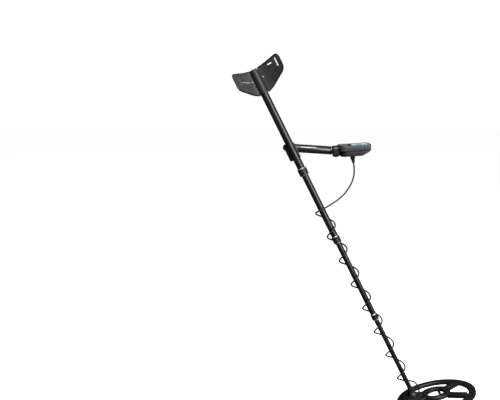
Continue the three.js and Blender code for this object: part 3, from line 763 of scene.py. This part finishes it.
# %% Screw heads
def screw_head(name, radius, shank_radius, shank_end, bench, body, replaces):
    """A domed head standing on local Z = 0, its shank running down to shank_end."""
    head = turned(name, [(shank_radius, shank_end), (shank_radius, 0), (radius, 0), (radius, radius * 0.35),
                         (radius * 0.82, radius * 0.58), (radius * 0.45, radius * 0.72)], 32)
    bar = radius * 0.16
    top = radius * 0.8
    cuts = [block("recess_a", (-radius * 0.6, -bar, top - radius * 0.42), (radius * 0.6, bar, top + 1), 0),
            block("recess_b", (-bar, -radius * 0.6, top - radius * 0.42), (bar, radius * 0.6, top + 1), 0)]
    cut_away(head, *cuts)
    return settle(head, bench, body, "bright", replaces)


on_the_sleeve = Matrix.Translation((-SLEEVE_RADIUS * MM - 0.0003, 0, 0.055))
cuff_screw_bench = cuff_bench @ on_the_sleeve @ Matrix.Rotation(-math.pi / 2, 4, "Y")
screw_head("cuff_screw_head", 4.6, 2, -2.6, cuff_screw_bench, "cuff", ["cuff_screw"])

# %% [markdown]
# ## The handle
# A bracket block clamps the handle's core tube behind the shaft. The grip over the core is a
# smooth sleeve between two seams. The bracket is a plate with rounded corners, and the bores for
# the core, the collar and the shaft are cut through it.

# %% Bracket, grip, collar and cap
shaft_from_grip = shaft_bench.inverted() @ grip_bench @ along_bore


def bore(name, radius, start, end, move):
    cutter = turned(name, [(radius, start), (radius, end)], 72)
    cutter.data.transform(move)
    return cutter


bracket = plate("grip_bracket", rounded(-21, 15, -41, -8, 5), 254, 303, rounding=1.4)
cut_away(
    bracket,
    bore("core_bore", 9.8, -150, 100, shaft_from_grip),
    bore("collar_bore", 14, -66.5, 20, shaft_from_grip),
    bore("cap_bore", 11, -130, -89.5, shaft_from_grip),
    bore("shaft_bore", 12.3, 200, 340, Matrix.Identity(4)),
)
settle(bracket, shaft_bench, "frame", "grey", ["handle_bracket"])
for number, x in ((1, -11), (2, 6)):
    place = shaft_bench @ Matrix.Translation(Vector((x, -41.1, 294)) * MM) @ on_its_side
    screw_head(f"bracket_screw_head_{number}", 4, 2, -12, place, "frame", [f"bracket_screw_{number}"])

grip_axis = grip_bench @ along_bore
core = turned("handle_core_tube", [(8, -92), (9.5, -92), (9.5, 70), (8, 70)], 72, hollow=True)
settle(core, grip_axis, "frame", "tube", ["handle_core"])
sleeve = turned("grip_tube", [(9.8, -51.7), (12.2, -51.7), (12.75, -51.3), (13, -50.5), (13, 46),
                              (12.6, 46.6), (12.6, 47.4), (13, 48), (13, 51.6), (12.3, 52.6), (9.8, 52.6)],
                96, hollow=True)
settle(sleeve, grip_axis, "frame", "grip", ["grip_sleeve"])
collar = turned("grip_collar", [(9.8, -66), (12.6, -66), (13.2, -65.6), (13.4, -64.8), (13.4, -60),
                                (13, -59.6), (13, -58.9), (13.4, -58.5), (13.4, -53.2), (13.2, -52.4),
                                (12.6, -52), (9.8, -52)], 96, hollow=True)
settle(collar, grip_axis, "frame", "plastic", ["handle_collar"])
end_cap = turned("grip_end_cap", [(7.7, -84), (7.7, -92.3), (10, -92.3), (10, -93.4), (9.85, -95), (9.3, -97),
                                  (8.3, -98.9), (6.8, -100.4), (4.6, -101.5), (2, -102)], 64)
settle(end_cap, grip_axis, "frame", "grey", ["handle_end_cap"])

# %% [markdown]
# ## The control box
# The housing is two shells. The upper one carries the display and the keys, the lower one is
# smaller all round and rises towards the far end. Both are plates cut from the same outline, drawn
# with simple curves, then hollowed. A neck joins them to the grip.

# %% Housing shells
BOX_TOP, BOX_PARTING, BOX_BOTTOM, BOX_FAR_END = 14.7, -2.5, -19.2, 120
HOUSING_SCREWS = [(40, -44, -16.2), (40, 44, -16.2), (111, -32, -4.8), (111, 32, -4.8)]
KEYS = [
    ("key_power", 34, 30.4, 20, 9), ("key_mode", 42, 16.2, 11, 12.4), ("key_sensitivity", 42, 0, 11, 12.4),
    ("key_volume", 42, -16.2, 11, 12.4), ("key_pinpoint", 34, -30.4, 20, 9),
    ("key_backlight", 28, 16.2, 10, 12.4), ("key_down", 28, 0, 10, 12.4), ("key_up", 28, -16.2, 10, 12.4),
]


def box_outline(inset):
    """The housing seen from above, drawn in from its full size by the inset."""
    half, back, waist = 52.5 - inset, 18 + inset, 33 - inset
    crown, shoulder = BOX_FAR_END - inset, 113 - inset
    side = (bow((shoulder + 1.99, half - 8), (shoulder + 1, half), (shoulder - 5, half), 6)
            + bow((back + 20, half), (back + 3, half), (back, waist), 10))
    crown_line = bow((shoulder + 2, -half + 8), (crown + 2, 0), (shoulder + 2, half - 8), 12)[1:-1]
    mirrored = [(x, -y) for x, y in reversed(side)]
    return mirrored + crown_line + side


def shifted(piece, x, y, z=0):
    piece.data.transform(Matrix.Translation(Vector((x, y, z)) * MM))
    return piece


def turned_over(piece, move):
    piece.data.transform(move)
    return piece


def join_on(piece, *others):
    for other in others:
        apply_modifier(piece, "BOOLEAN", object=other, operation="UNION", solver="EXACT")
        bpy.data.objects.remove(other)
    return piece


def key_outline(x, y, length, width, extra):
    return rounded(x - length / 2 - extra, x + length / 2 + extra, y - width / 2 - extra,
                   y + width / 2 + extra, 2.2 + extra)


def side_cutter(name, outline, reach=80):
    """A cutter drawn in the plane of the box's side and pushed through the whole width."""
    return turned_over(plate(name, outline, -reach, reach, rounding=0), on_its_side)


lower = plate("housing_lower", box_outline(4), BOX_BOTTOM, BOX_PARTING, rounding=1.4)
cut_away(lower, side_cutter("slope", [(80, -30), (140, -30), (140, 7), (86, BOX_BOTTOM)]))
cavity = plate("cavity", box_outline(6.2), BOX_BOTTOM + 2.2, 40, rounding=0)
cut_away(cavity, side_cutter("inner_slope", [(60, -40), (140, -40), (140, 9.6), (84, BOX_BOTTOM + 2.6)]))
cut_away(lower, cavity)
for x, y, seat in HOUSING_SCREWS:
    join_on(lower, shifted(turned("post", [(3.8, seat - 1.2), (3.8, BOX_PARTING)], 32), x, y))
    cut_away(lower, shifted(turned("seat", [(3.6, -30), (3.6, seat)], 32), x, y),
             shifted(turned("screw_hole", [(1.9, -30), (1.9, 10)], 24), x, y))
cut_away(lower, plate("door_hole", rounded(26.7, 50.3, -21.3, 21.3, 2), -30, -10, rounding=0),
         shifted(turned("socket_hole", [(6.3, -30), (6.3, 0)], 48), 61, 0))
settle(lower, box_bench, "frame", "plastic", ["box_base"])

upper = plate("housing_upper", box_outline(0), BOX_PARTING + 0.3, BOX_TOP, rounding=1.5)
cut_away(
    upper,
    plate("cavity", box_outline(2.2), -10, BOX_TOP - 2.6, rounding=0),
    plate("bezel_seat", rounded(55.7, 114.3, -47.1, 47.1, 3), BOX_TOP - 1.2, BOX_TOP + 5, rounding=0),
    plate("window", rounded(57.5, 108, -43.3, 43.3, 1), 0, 20, rounding=0),
    *[plate("key_hole", key_outline(x, y, length, width, 0.3), 0, 20, rounding=0)
      for _, x, y, length, width in KEYS],
)
for x, y, _ in HOUSING_SCREWS:
    join_on(upper, shifted(turned("boss", [(1.4, BOX_PARTING + 0.3), (3, BOX_PARTING + 0.3), (3, BOX_TOP - 2),
                                           (1.4, BOX_TOP - 2)], 32, hollow=True), x, y))
settle(upper, box_bench, "frame", "grey", ["box_front"])

seal = plate("housing_seal", box_outline(1), BOX_PARTING - 0.4, BOX_PARTING + 0.35, [box_outline(7)],
             rounding=0.2)
settle(seal, box_bench, "frame", "rubber")

upright = Matrix(((0, 0, 1, 0), (1, 0, 0, 0), (0, 1, 0, 0), (0, 0, 0, 1)))
neck = turned_over(plate("housing_neck", rounded(-24, 24, BOX_BOTTOM, BOX_TOP - 1, 9), 0.5, 17.7,
                         rounding=1.4),
                   upright)
box_from_grip = box_bench.inverted() @ grip_bench @ along_bore
cut_away(neck, bore("neck_bore", 9.8, -100, 70.3, box_from_grip),
         shifted(turned("jack_hole", [(3.3, -40), (3.3, -13)], 40), 10, 0))
settle(neck, box_bench, "frame", "plastic", ["box_neck"])
print("housing faces:", len(lower.data.polygons) + len(upper.data.polygons))

# %% [markdown]
# ## Display
# A dark brown frame surrounds a pale glass, whose material carries a painted glow that stands in
# for the light it catches. Everything printed on them is a very thin raised plate, cut to shape, so
# it is real geometry: a scale, two warning strips, columns of bars, two digits and the ribs beside
# the keys. None of it spells anything.

# %% Display and print
settle(plate("display_surround", rounded(56, 114, -46.8, 46.8, 2.7), 13.8, BOX_TOP,
             [rounded(59.5, 106, -41.3, 41.3, 1)], rounding=0.25),
       box_bench, "frame", "bezel", ["display_bezel"])
settle(plate("display_glass", rounded(58, 107.5, -42.8, 42.8, 1), 10.2, 13.5, rounding=0.2),
       box_bench, "frame", "lcd", ["lcd_panel"])

def spot(across, down):
    """A place on the face, in mm: across to the right of its middle line, down from its far end."""
    return BOX_FAR_END - down, -across


def shape(*places):
    return [spot(*place) for place in places]


def slab(left, right, far, near, lean=0):
    """A bar between two columns and two rows, leaning sideways by the given amount."""
    return shape((left + lean, far), (right + lean, far), (right, near), (left, near))


def strokes(places, width):
    """Separate straight bars along a line of places."""
    bars = []
    for (a0, d0), (a1, d1) in zip(places, places[1:]):
        reach = math.hypot(a1 - a0, d1 - d0)
        along_a, along_d = (a1 - a0) / reach, (d1 - d0) / reach
        gap_a, gap_d = along_a * width * 0.55, along_d * width * 0.55
        a0, d0, a1, d1 = a0 + gap_a, d0 + gap_d, a1 - gap_a, d1 - gap_d
        side_a, side_d = -along_d * width / 2, along_a * width / 2
        bars.append(shape((a0 + side_a, d0 + side_d), (a1 + side_a, d1 + side_d),
                          (a1 - side_a, d1 - side_d), (a0 - side_a, d0 - side_d)))
    return bars


def digit(left, right, far, near, width):
    """Seven bars of a lit digit, a little apart."""
    middle, corner = (far + near) / 2, width * 1.12
    flat = [slab(left + corner, right - corner, at - width / 2, at + width / 2)
            for at in (far + width / 2, middle, near - width / 2)]
    halves = ((far + width * 0.6, middle - width * 0.3), (middle + width * 0.3, near - width * 0.6))
    tall = [slab(at - width / 2, at + width / 2, start, end)
            for at in (left + width / 2, right - width / 2) for start, end in halves]
    return flat + tall


def outline_box(left, right, far, near, lean, width):
    inside = shape((left + lean + width, far + width), (right + lean - width, far + width),
                   (right - width, near - width), (left + width, near - width))
    return [slab(left, right, far, near, lean), inside]


def printed(name, lines, low, material, body="frame", thickness=0.14):
    piece = plate(name, lines[0], low, low + thickness, lines[1:], rounding=0.02)
    return settle(piece, box_bench, body, material)


# Columns of bars: left edge, width, height, sideways lean and the rows where they start.
BAR_COLUMNS = [
    (-38.5, 6.3, 3.1, 1.05, (26.6, 31.5, 36.3, 41, 45.6)),
    (31.9, 5.2, 3, 0, (26.8, 31.4, 35.8, 40.2, 44.6)),
    (-21.7, 4.9, 2.7, 1.05, (27.8, 32, 36.2, 40.2, 44.3)),
    (16.1, 4.9, 2.7, -1.05, (27.8, 32, 36.2, 40.2, 44.3)),
]
DIGIT_BAR = 2.5
FRAME_LINE = 0.6
STRIP_FAR, STRIP_NEAR, DOT_RADIUS, DOT_PITCH = 10.3, 13.9, 0.62, 4.48
SCALE_FAR, SCALE_NEAR = 6.2, 7.6

ink = [slab(left, left + 4.3, 18, 23.4) for left in (-24.5, -13.6, -4.2, 4.9, 14, 23.1)]
for left, width, height, lean, rows in BAR_COLUMNS:
    ink += [slab(left, left + width, far, far + height, lean) for far in rows]
for left, right in ((-13.3, -1.05), (1.4, 13.3)):
    ink += digit(left, right, 27.5, 48.9, DIGIT_BAR)
ink += strokes([(-29, 16.3), (-29, 23.8), (-25.2, 27.5), (-25.2, 46.9), (-28.4, 50.1), (-38.5, 50.1)],
               FRAME_LINE)
ink += strokes([(29.3, 16.3), (29.3, 23.8), (25.2, 27.5), (25.2, 46.5), (29, 49.7), (38.1, 49.7)], FRAME_LINE)
for left in (-28.7, -14.1, 0.4, 15):
    ink += outline_box(left, left + 12.3, 51.2, 55.8, 1.1, 0.7)
battery_sign = outline_box(-37.5, -32.6, 54.3, 57.2, 0, 0.55) + [slab(-32.3, -31.6, 55.1, 56.4)]
sound_sign = [slab(32.2, 33.5, 53.6, 55.1), shape((33.7, 53.6), (35.8, 52.3), (35.8, 56.5), (33.7, 55.1))]
ink += battery_sign + sound_sign
printed("display_segments", ink, 13.5, "ink")

printed("warning_strip_near", [slab(-30.5, -15.9, STRIP_FAR, STRIP_NEAR)], BOX_TOP, "red_print")
printed("warning_strip_far", [slab(-15.6, 30.7, STRIP_FAR, STRIP_NEAR)], BOX_TOP, "orange_print")
strip_middle = BOX_FAR_END - (STRIP_FAR + STRIP_NEAR) / 2
dots = [circle_line(strip_middle, 27.9 - number * DOT_PITCH, DOT_RADIUS, 12) for number in range(13)]
printed("strip_dots", dots, BOX_TOP + 0.14, "ink", thickness=0.06)
scale = [shape((-36.4, SCALE_NEAR), (-17.5, SCALE_FAR), (-17.5, SCALE_NEAR)),
         shape((27.3, SCALE_FAR), (36.4, SCALE_NEAR), (27.3, SCALE_NEAR))]
scale += [slab(left, left + 2.8, SCALE_FAR, SCALE_NEAR) for left in (-16.7, -13.2, -9.7, -6.2, 6.6, 10, 13.4)]
printed("scale_marks", scale, BOX_TOP, "white_print")
print("printed shapes:", len(ink) + len(dots) + len(scale))

# %% [markdown]
# ## Keys, ribs and fittings of the box
# Each key is a soft rounded block with one printed sign, and rides on its own moving body. Ribs
# swell beside the keypad under an arched line. Below hang the phones socket, the battery door
# and the cable's socket with its locking ring.

# %% Keys and fittings
SIGNS = {
    "key_power": [circle_line(34, 30.4, 2.3, 24), circle_line(34, 30.4, 1.6, 24)],
    "key_mode": [[(40.5, 13.6), (41.2, 13.6), (41.2, 18.8), (40.5, 18.8)],
                 [(42.8, 13.6), (43.5, 13.6), (43.5, 18.8), (42.8, 18.8)]],
    "key_sensitivity": [[(40, -2.4 + i * 1.6), (40.8 + i * 0.9, -2.4 + i * 1.6),
                         (40.8 + i * 0.9, -1.6 + i * 1.6), (40, -1.6 + i * 1.6)] for i in range(4)],
    "key_volume": [[(41.2, -14.6), (42.8, -14.6), (44, -16.4), (44, -16.6), (40, -16.6), (40, -16.4)]],
    "key_pinpoint": [circle_line(34, -30.4, 2.4, 24), circle_line(34, -30.4, 1.9, 24),
                     circle_line(34, -30.4, 0.7, 16)],
    "key_backlight": [circle_line(28, 16.2, 1.5, 20)],
    "key_down": [[(30, -1.9), (30, 1.9), (26.6, 0)]],
    "key_up": [[(26.2, -18.1), (29.6, -16.2), (26.2, -14.3)]],
}
for name, x, y, length, width in KEYS:
    cap = join_on(plate("cap_" + name, key_outline(x, y, length, width, 0), 9.5, 16.4, rounding=0.7),
                  plate("foot", key_outline(x, y, length, width, 0.6), 8, 9.6, rounding=0.1))
    settle(cap, box_bench, name, "key", [name])
    printed("sign_" + name, SIGNS[name], 16.4, "white_print", name, 0.05)

arch = [spot(*place) for place in bow((-44.8, 74.1), (0, 68.7), (45.1, 74.1), 24)]
arch_back = [(x - 1.1, y) for x, y in reversed(arch)]
settle(plate("keypad_arch", arch + arch_back, BOX_TOP - 0.2, BOX_TOP + 0.3, rounding=0.12), box_bench,
       "frame", "plastic")
for side, label in ((-1, "right"), (1, "left")):
    for number in range(4):
        near = 37.6 + number * 2.6
        points = bow((43.5, side * near), (35, side * (near + 0.8)),
                     (28.5 + number * 0.8, side * (near - 2.6)), 12)
        rib = round_line(f"rib_{label}_{number}", [(x * MM, y * MM, BOX_TOP * MM) for x, y in points], 0.75)
        settle(rib, box_bench, "frame", "plastic")

for number, (x, y, seat) in enumerate(HOUSING_SCREWS, 1):
    place = box_bench @ Matrix.Translation(Vector((x, y, seat - 0.3)) * MM) @ Matrix.Rotation(math.pi, 4, "X")
    screw_head(f"housing_screw_head_{number}", 2.9, 1.1, seat - 3.3, place, "frame",
               [f"housing_screw_{number}"])

jack = turned("phones_socket", [(1.75, -21.7), (2.6, -21.7), (3, -21.3), (3, -13.3), (1.75, -13.3)], 48,
              hollow=True)
settle(shifted(jack, 10, 0), box_bench, "frame", "bright", ["headphone_jack"])
socket = turned("lead_socket", [(4, -22.5), (7.6, -22.5), (8, -22.1), (8, -19.5), (6, -19.5), (6, -12),
                                (4, -12)],
                64, hollow=True)
settle(shifted(socket, 61, 0), box_bench, "frame", "grey", ["cable_socket"])
lid = plate("battery_lid", rounded(27, 50, -21, 21, 1.7), BOX_BOTTOM, BOX_BOTTOM + 2.2, rounding=0.35)
cut_away(lid, *[block("finger_groove", (x, -9, BOX_BOTTOM - 1), (x + 1.2, 9, BOX_BOTTOM + 0.7), 0.3)
                for x in (42, 44.4, 46.8)])
settle(lid, box_bench, "door", "plastic", ["battery_door"])


def flute(piece, from_radius, count, depth):
    """Presses rounded grooves into the outside of a turned piece."""
    for vertex in piece.data.vertices:
        radius = math.hypot(vertex.co.x, vertex.co.y) / MM
        if radius > from_radius:
            turn = math.atan2(vertex.co.y, vertex.co.x)
            ratio = 1 - depth / radius * (0.5 + 0.5 * math.cos(count * turn))
            vertex.co.x *= ratio
            vertex.co.y *= ratio
    return piece


locking_ring = turned("lead_locking_ring", [(3.6, 4), (6.9, 4), (7.5, 4.6), (7.5, 8.9), (6.9, 9.5),
                                            (3.6, 9.5)],
                      144, hollow=True)
settle(flute(locking_ring, 6.95, 24, 0.5), plug_bench, "plug", "plastic", ["plug_ring"])
relief_rings = [(2.8, 9.8), (6.2, 9.8), (6.6, 10.2), (6.6, 12), (6, 12.6)]
for step in range(5):
    height = 13 + step * 2.1
    reach = 6 - step * 0.42
    relief_rings += [(reach - 0.7, height), (reach - 0.7, height + 0.7), (reach, height + 0.9),
                     (reach - 0.1, height + 2)]
relief_rings += [(3.8, RELIEF_END), (2.8, RELIEF_END)]
relief = settle(turned("lead_strain_relief", relief_rings, 48, hollow=True), plug_bench, "frame", "rubber",
                ["strain_relief"])
print("box fittings done;", len(KEYS), "keys")

# %% [markdown]
# ## The cable
# One cable runs from the box to the coil, but the shaft's sections slide, so it is made in four
# lengths that meet where it passes each lock. Each length is listed with the two bodies that it
# joins and its start and end points, but these are not used: the lengths stay fixed in place.

# %% Four lengths of cable
CABLE_SEAMS = [594, 880, 1106]


def down_from_top(point):
    return (point - shaft_top).dot(down_shaft) / MM


def shaft_line(along):
    return tuple(shaft_top + down_shaft * along * MM)


first_past = [next(i for i, point in enumerate(route) if down_from_top(point) > seam) for seam in CABLE_SEAMS]
cuts = [0, *first_past, len(route) - 1]
LENGTHS = [
    ("cable_upper", "frame", "mid_1", shaft_line(400), shaft_line(590)),
    ("cable_middle", "mid_1", "mid_2", shaft_line(598), shaft_line(876)),
    ("cable_lower", "mid_2", "lower", shaft_line(884), shaft_line(1102)),
    ("cable_tail", "lower", "coil", tuple(route[cuts[3]]), tuple(on_bench(coil_bench, GLAND_AT, 0, -5))),
]
for (replaced, first, second, start, end), low, high in zip(LENGTHS, cuts, cuts[1:]):
    path = route[low:high + 1]
    wire = round_line(replaced.replace("cable", "wound_cable"), path, CABLE_RADIUS, resolution=3)
    bpy.ops.object.shade_smooth_by_angle(angle=SMOOTH_ANGLE)
    wire.data.materials.clear()
    wire.data.materials.append(FINISHES["cable"])
    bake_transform(wire)
    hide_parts(replaced)
    length = sum((b - a).length for a, b in zip(path, path[1:]))
    print(replaced, round(length, 3), "m")

# %% [markdown]
# ## The search coil
# The coil is a flat round band with a raised ring in its middle. A web joins the two at the back
# and carries the hinge's ears, and two spokes join them at the front. The hinge is a bolt through
# the ears and the shaft's eye, with rubber washers between and a hand knob on its far end.

# %% Coil and hinge
COIL_CENTRE, COIL_TOP, COIL_RADIUS, BAND_WIDTH, COIL_DEPTH = 72, -22.4, 127, 23, 10.5
RING_TOP, RING_BOTTOM, RING_RADIUS, RING_HOLE, WEB_BOTTOM = -13, -23.5, 48, 27.5, -30
inner, bottom, wall = COIL_RADIUS - BAND_WIDTH, COIL_TOP - COIL_DEPTH, 2.2
across_hinge = Matrix.Rotation(-math.pi / 2, 4, "X")


def on_centre(piece):
    return shifted(piece, COIL_CENTRE, 0)


def lip(radius, top, outward, size):
    """A rounded top edge of a ring, from the side up to the flat."""
    return [(radius - outward * size * (1 - math.cos(turn)), top - size * (1 - math.sin(turn)))
            for turn in (math.radians(angle) for angle in (0, 22, 45, 68, 90))]


band_rings = [(inner + 2, bottom), (inner + wall + 1, bottom), (inner + wall + 1, COIL_TOP - wall),
              (COIL_RADIUS - wall, COIL_TOP - wall), (COIL_RADIUS - wall, bottom), (COIL_RADIUS - 1, bottom),
              (COIL_RADIUS, bottom + 1.2)]
band_rings += lip(COIL_RADIUS, COIL_TOP, 1, 3.4)
band_rings += [(COIL_RADIUS - 7, COIL_TOP), (COIL_RADIUS - 7.4, COIL_TOP - 0.5),
               (COIL_RADIUS - 8, COIL_TOP - 0.5), (COIL_RADIUS - 8.4, COIL_TOP)]
band_rings += lip(inner, COIL_TOP, -1, 3.4)[::-1] + [(inner, bottom + 1.2)]
settle(on_centre(turned("coil_band", band_rings, 160, hollow=True)), coil_bench, "coil", "plastic",
       ["coil_shell"])

hub_rings = [(RING_HOLE, RING_BOTTOM), (RING_RADIUS, RING_BOTTOM)] + lip(RING_RADIUS, RING_TOP, 1, 2.6)
hub_rings += [(RING_RADIUS - 7, RING_TOP), (RING_RADIUS - 7.5, RING_TOP - 0.6),
              (RING_RADIUS - 8.3, RING_TOP - 0.6), (RING_RADIUS - 8.8, RING_TOP)]
hub_rings += lip(RING_HOLE, RING_TOP, -1, 2.6)[::-1]
hub = on_centre(turned("coil_hub", hub_rings, 128, hollow=True))
web_side = bow((-36, 28), (-66, 40), (-90, 56), 14)
web = plate("coil_web", [(x, -y) for x, y in web_side] + [(-103, -22), (-103, 22)] + web_side[::-1],
            WEB_BOTTOM, RING_TOP, rounding=1.2)
web = on_centre(web)
join_on(web, on_centre(block("bar", (10, -30, RING_BOTTOM), (16.5, 30, RING_TOP - 2), 1)))
for angle in (-34, 34):
    spoke = block("spoke", (42, -9, WEB_BOTTOM), (inner + 2, 9, RING_TOP - 2), 1.6)
    join_on(web, on_centre(turned_over(spoke, Matrix.Rotation(math.radians(angle), 4, "Z"))))
for y in (-21, -14, 14, 21):
    join_on(web, on_centre(block("stiffener", (-96, y - 1, RING_TOP - 1), (-52, y + 1, RING_TOP + 1.2), 0.5)))
settle(hub, coil_bench, "coil", "plastic")
cut_away(web, shifted(turned("gland_hole", [(5.3, -40), (5.3, 0)], 32), GLAND_AT, 0))
settle(web, coil_bench, "coil", "plastic")

for side, label in ((-1, "right"), (1, "left")):
    outline = [(-21, RING_TOP - 2)] + arc((0, 0), 11, 180, 0, 24) + [(17, RING_TOP - 2)]
    low = -14.2 if side > 0 else 9.2
    ear = turned_over(plate(f"hinge_ear_{label}", outline, low, low + 5, [circle_line(0, 0, 4.3)],
                            rounding=0.7),
                      on_its_side)
    settle(ear, coil_bench, "coil", "plastic")
    for number, x in enumerate((-12, 0, 11)):
        y = side * 14
        rib = block(f"ear_rib_{label}_{number}", (x - 1, min(y, y + side * 4), RING_TOP - 1),
                    (x + 1, max(y, y + side * 4), -5 if x else -11.3), 0.5)
        settle(rib, coil_bench, "coil", "plastic")

cover_top = bottom - 0.3
cover = turned("coil_skid_cover", [(inner + 4, cover_top - 2), (COIL_RADIUS - 3, cover_top - 2),
                                   (COIL_RADIUS - 1.6, cover_top - 1.6), (COIL_RADIUS - 1, cover_top - 0.8),
                                   (COIL_RADIUS - 1, cover_top), (inner + 2, cover_top),
                                   (inner + 2, cover_top - 1)],
               160, hollow=True)
settle(on_centre(cover), coil_bench, "coil", "plastic", ["coil_cover"])
gland = turned("lead_gland", [(2.8, -29), (5, -29), (5, -12.7), (6.1, -12.7), (6.5, -12.3), (6.5, -10.5),
                              (5.3, -9.9), (5.3, -9.2), (5.6, -8.8), (4.6, -8.2), (4.5, -7.4), (4.9, -7),
                              (4.1, -6.4), (3.9, -5), (2.8, -5)], 48, hollow=True)
settle(shifted(gland, GLAND_AT, 0), coil_bench, "coil", "rubber", ["coil_gland"])

fork = turned("fork_neck", [(6, 1105), (6, 1127.3), (8.2, 1127.3), (8.6, 1127.8), (8.6, PIVOT_AT - 12.6),
                            (8.2, PIVOT_AT - 12)], 64)
eye = turned_over(turned("eye", [(4.3, -6), (9.5, -6), (10, -5.5), (10, 5.5), (9.5, 6), (4.3, 6)], 64,
                         hollow=True),
                  Matrix.Translation((0, 0, PIVOT_AT * MM)) @ on_its_side)
cheek = block("cheek", (-8, -6, PIVOT_AT - 16), (8, 6, PIVOT_AT - 5), 0.8)
join_on(fork, cheek, eye)
settle(fork, shaft_bench, "lower", "plastic", ["shaft_fork"])
bolt = turned("hinge_bolt", [(7.4, -18.4), (7.4, -14.5)], 6)
soften(bolt, 0.5)
shank = turned("shank", [(4, -15), (4, 23.4), (3.4, 24)], 48)
join_on(bolt, shank)
settle(turned_over(bolt, across_hinge), coil_bench, "lower", "dulled", ["coil_bolt"])
for side, label in ((-1, "right"), (1, "left")):
    low, high = (6.3, 8.9) if side > 0 else (-8.9, -6.3)
    washer = turned(f"hinge_washer_{label}", [(4.4, low), (8.7, low), (9, low + 0.3), (9, high - 0.3),
                                              (8.7, high), (4.4, high)], 64, hollow=True)
    settle(turned_over(washer, across_hinge), coil_bench, "lower", "rubber", [f"pivot_washer_{label}"])
knob = turned("hinge_knob", [(4.3, 14.5), (9, 14.5), (9.6, 15.4), (10.5, 17.5), (12, 18.5), (12.5, 19.4),
                             (12.5, 26.4), (12, 27.6), (11, 28.3), (8, 28.5), (2, 28.2), (2, 24.3),
                             (4.3, 24.3)], 144, hollow=True)
settle(turned_over(flute(knob, 11, 12, 1.2), across_hinge), coil_bench, "knob", "plastic", ["coil_knob"])

for name, material in {
    "lock_collet_1": "grey", "lock_collet_2": "grey", "lock_collet_3": "grey", "circuit_board": "board",
    "speaker": "rubber", "battery_pack": "battery", "coil_winding": "copper",
}.items():
    inside = bpy.data.objects[name]
    inside.data.materials.clear()
    inside.data.materials.append(FINISHES[material])
print("coil done; inner parts keep the working model's shape")

# %% [markdown]
# ## Studio
# The object floats over a pale sweep, which carries no strong shadow. The camera sees a white
# world, while the light that the world gives is much weaker, so black plastic stays black, and
# the sweep itself throws no light back. A large soft light on the right draws the long highlight
# down each tube, a stronger one works from above and in front, and a weak one opens the shadows
# on the left.

# %% Floor, lights and world
FLOOR_HEIGHT = -0.845
WORLD_LIGHT = 0.03
bpy.ops.mesh.primitive_plane_add(size=40, location=(0, 0, FLOOR_HEIGHT))
floor = bpy.context.object
floor.name = "studio_floor"
sweep = bpy.data.materials.new("studio_paper")
sweep.use_nodes = True
paper = sweep.node_tree.nodes["Principled BSDF"]
set_inputs(paper, {"Base Color": (0.9, 0.9, 0.9, 1), "Roughness": 0.9,
                   "Emission Color": (1, 1, 1, 1), "Emission Strength": 0.95})
floor.data.materials.append(sweep)
floor.visible_glossy = False
floor.visible_diffuse = False

LIGHTS = [
    ("right_softbox", (1.8, -2.2, 0.65), 72, 1.7),
    ("top_softbox", (0.15, -1.9, 2), 125, 1.3),
    ("left_fill", (-2.4, -2, 0.4), 3, 1.6),
]
aim = Vector((0.05, 0, -0.3))
for name, place, power, size in LIGHTS:
    data = bpy.data.lights.new(name, "AREA")
    data.energy = power
    data.size = size
    lamp = bpy.data.objects.new(name, data)
    lamp.location = place
    lamp.rotation_euler = (aim - Vector(place)).to_track_quat("-Z", "Y").to_euler()
    bpy.context.collection.objects.link(lamp)

world = bpy.data.worlds.new("studio")
bpy.context.scene.world = world
world.use_nodes = True
nodes, links = world.node_tree.nodes, world.node_tree.links
background = nodes["Background"]
background.inputs["Color"].default_value = (1, 1, 1, 1)
ray = nodes.new("ShaderNodeLightPath")
strength = nodes.new("ShaderNodeMath")
strength.operation = "MULTIPLY_ADD"
links.new(ray.outputs["Is Camera Ray"], strength.inputs[0])
strength.inputs[1].default_value = 1 - WORLD_LIGHT
strength.inputs[2].default_value = WORLD_LIGHT
links.new(strength.outputs[0], background.inputs["Strength"])
bpy.context.scene.view_settings.view_transform = "Standard"
print("lights:", len(LIGHTS))
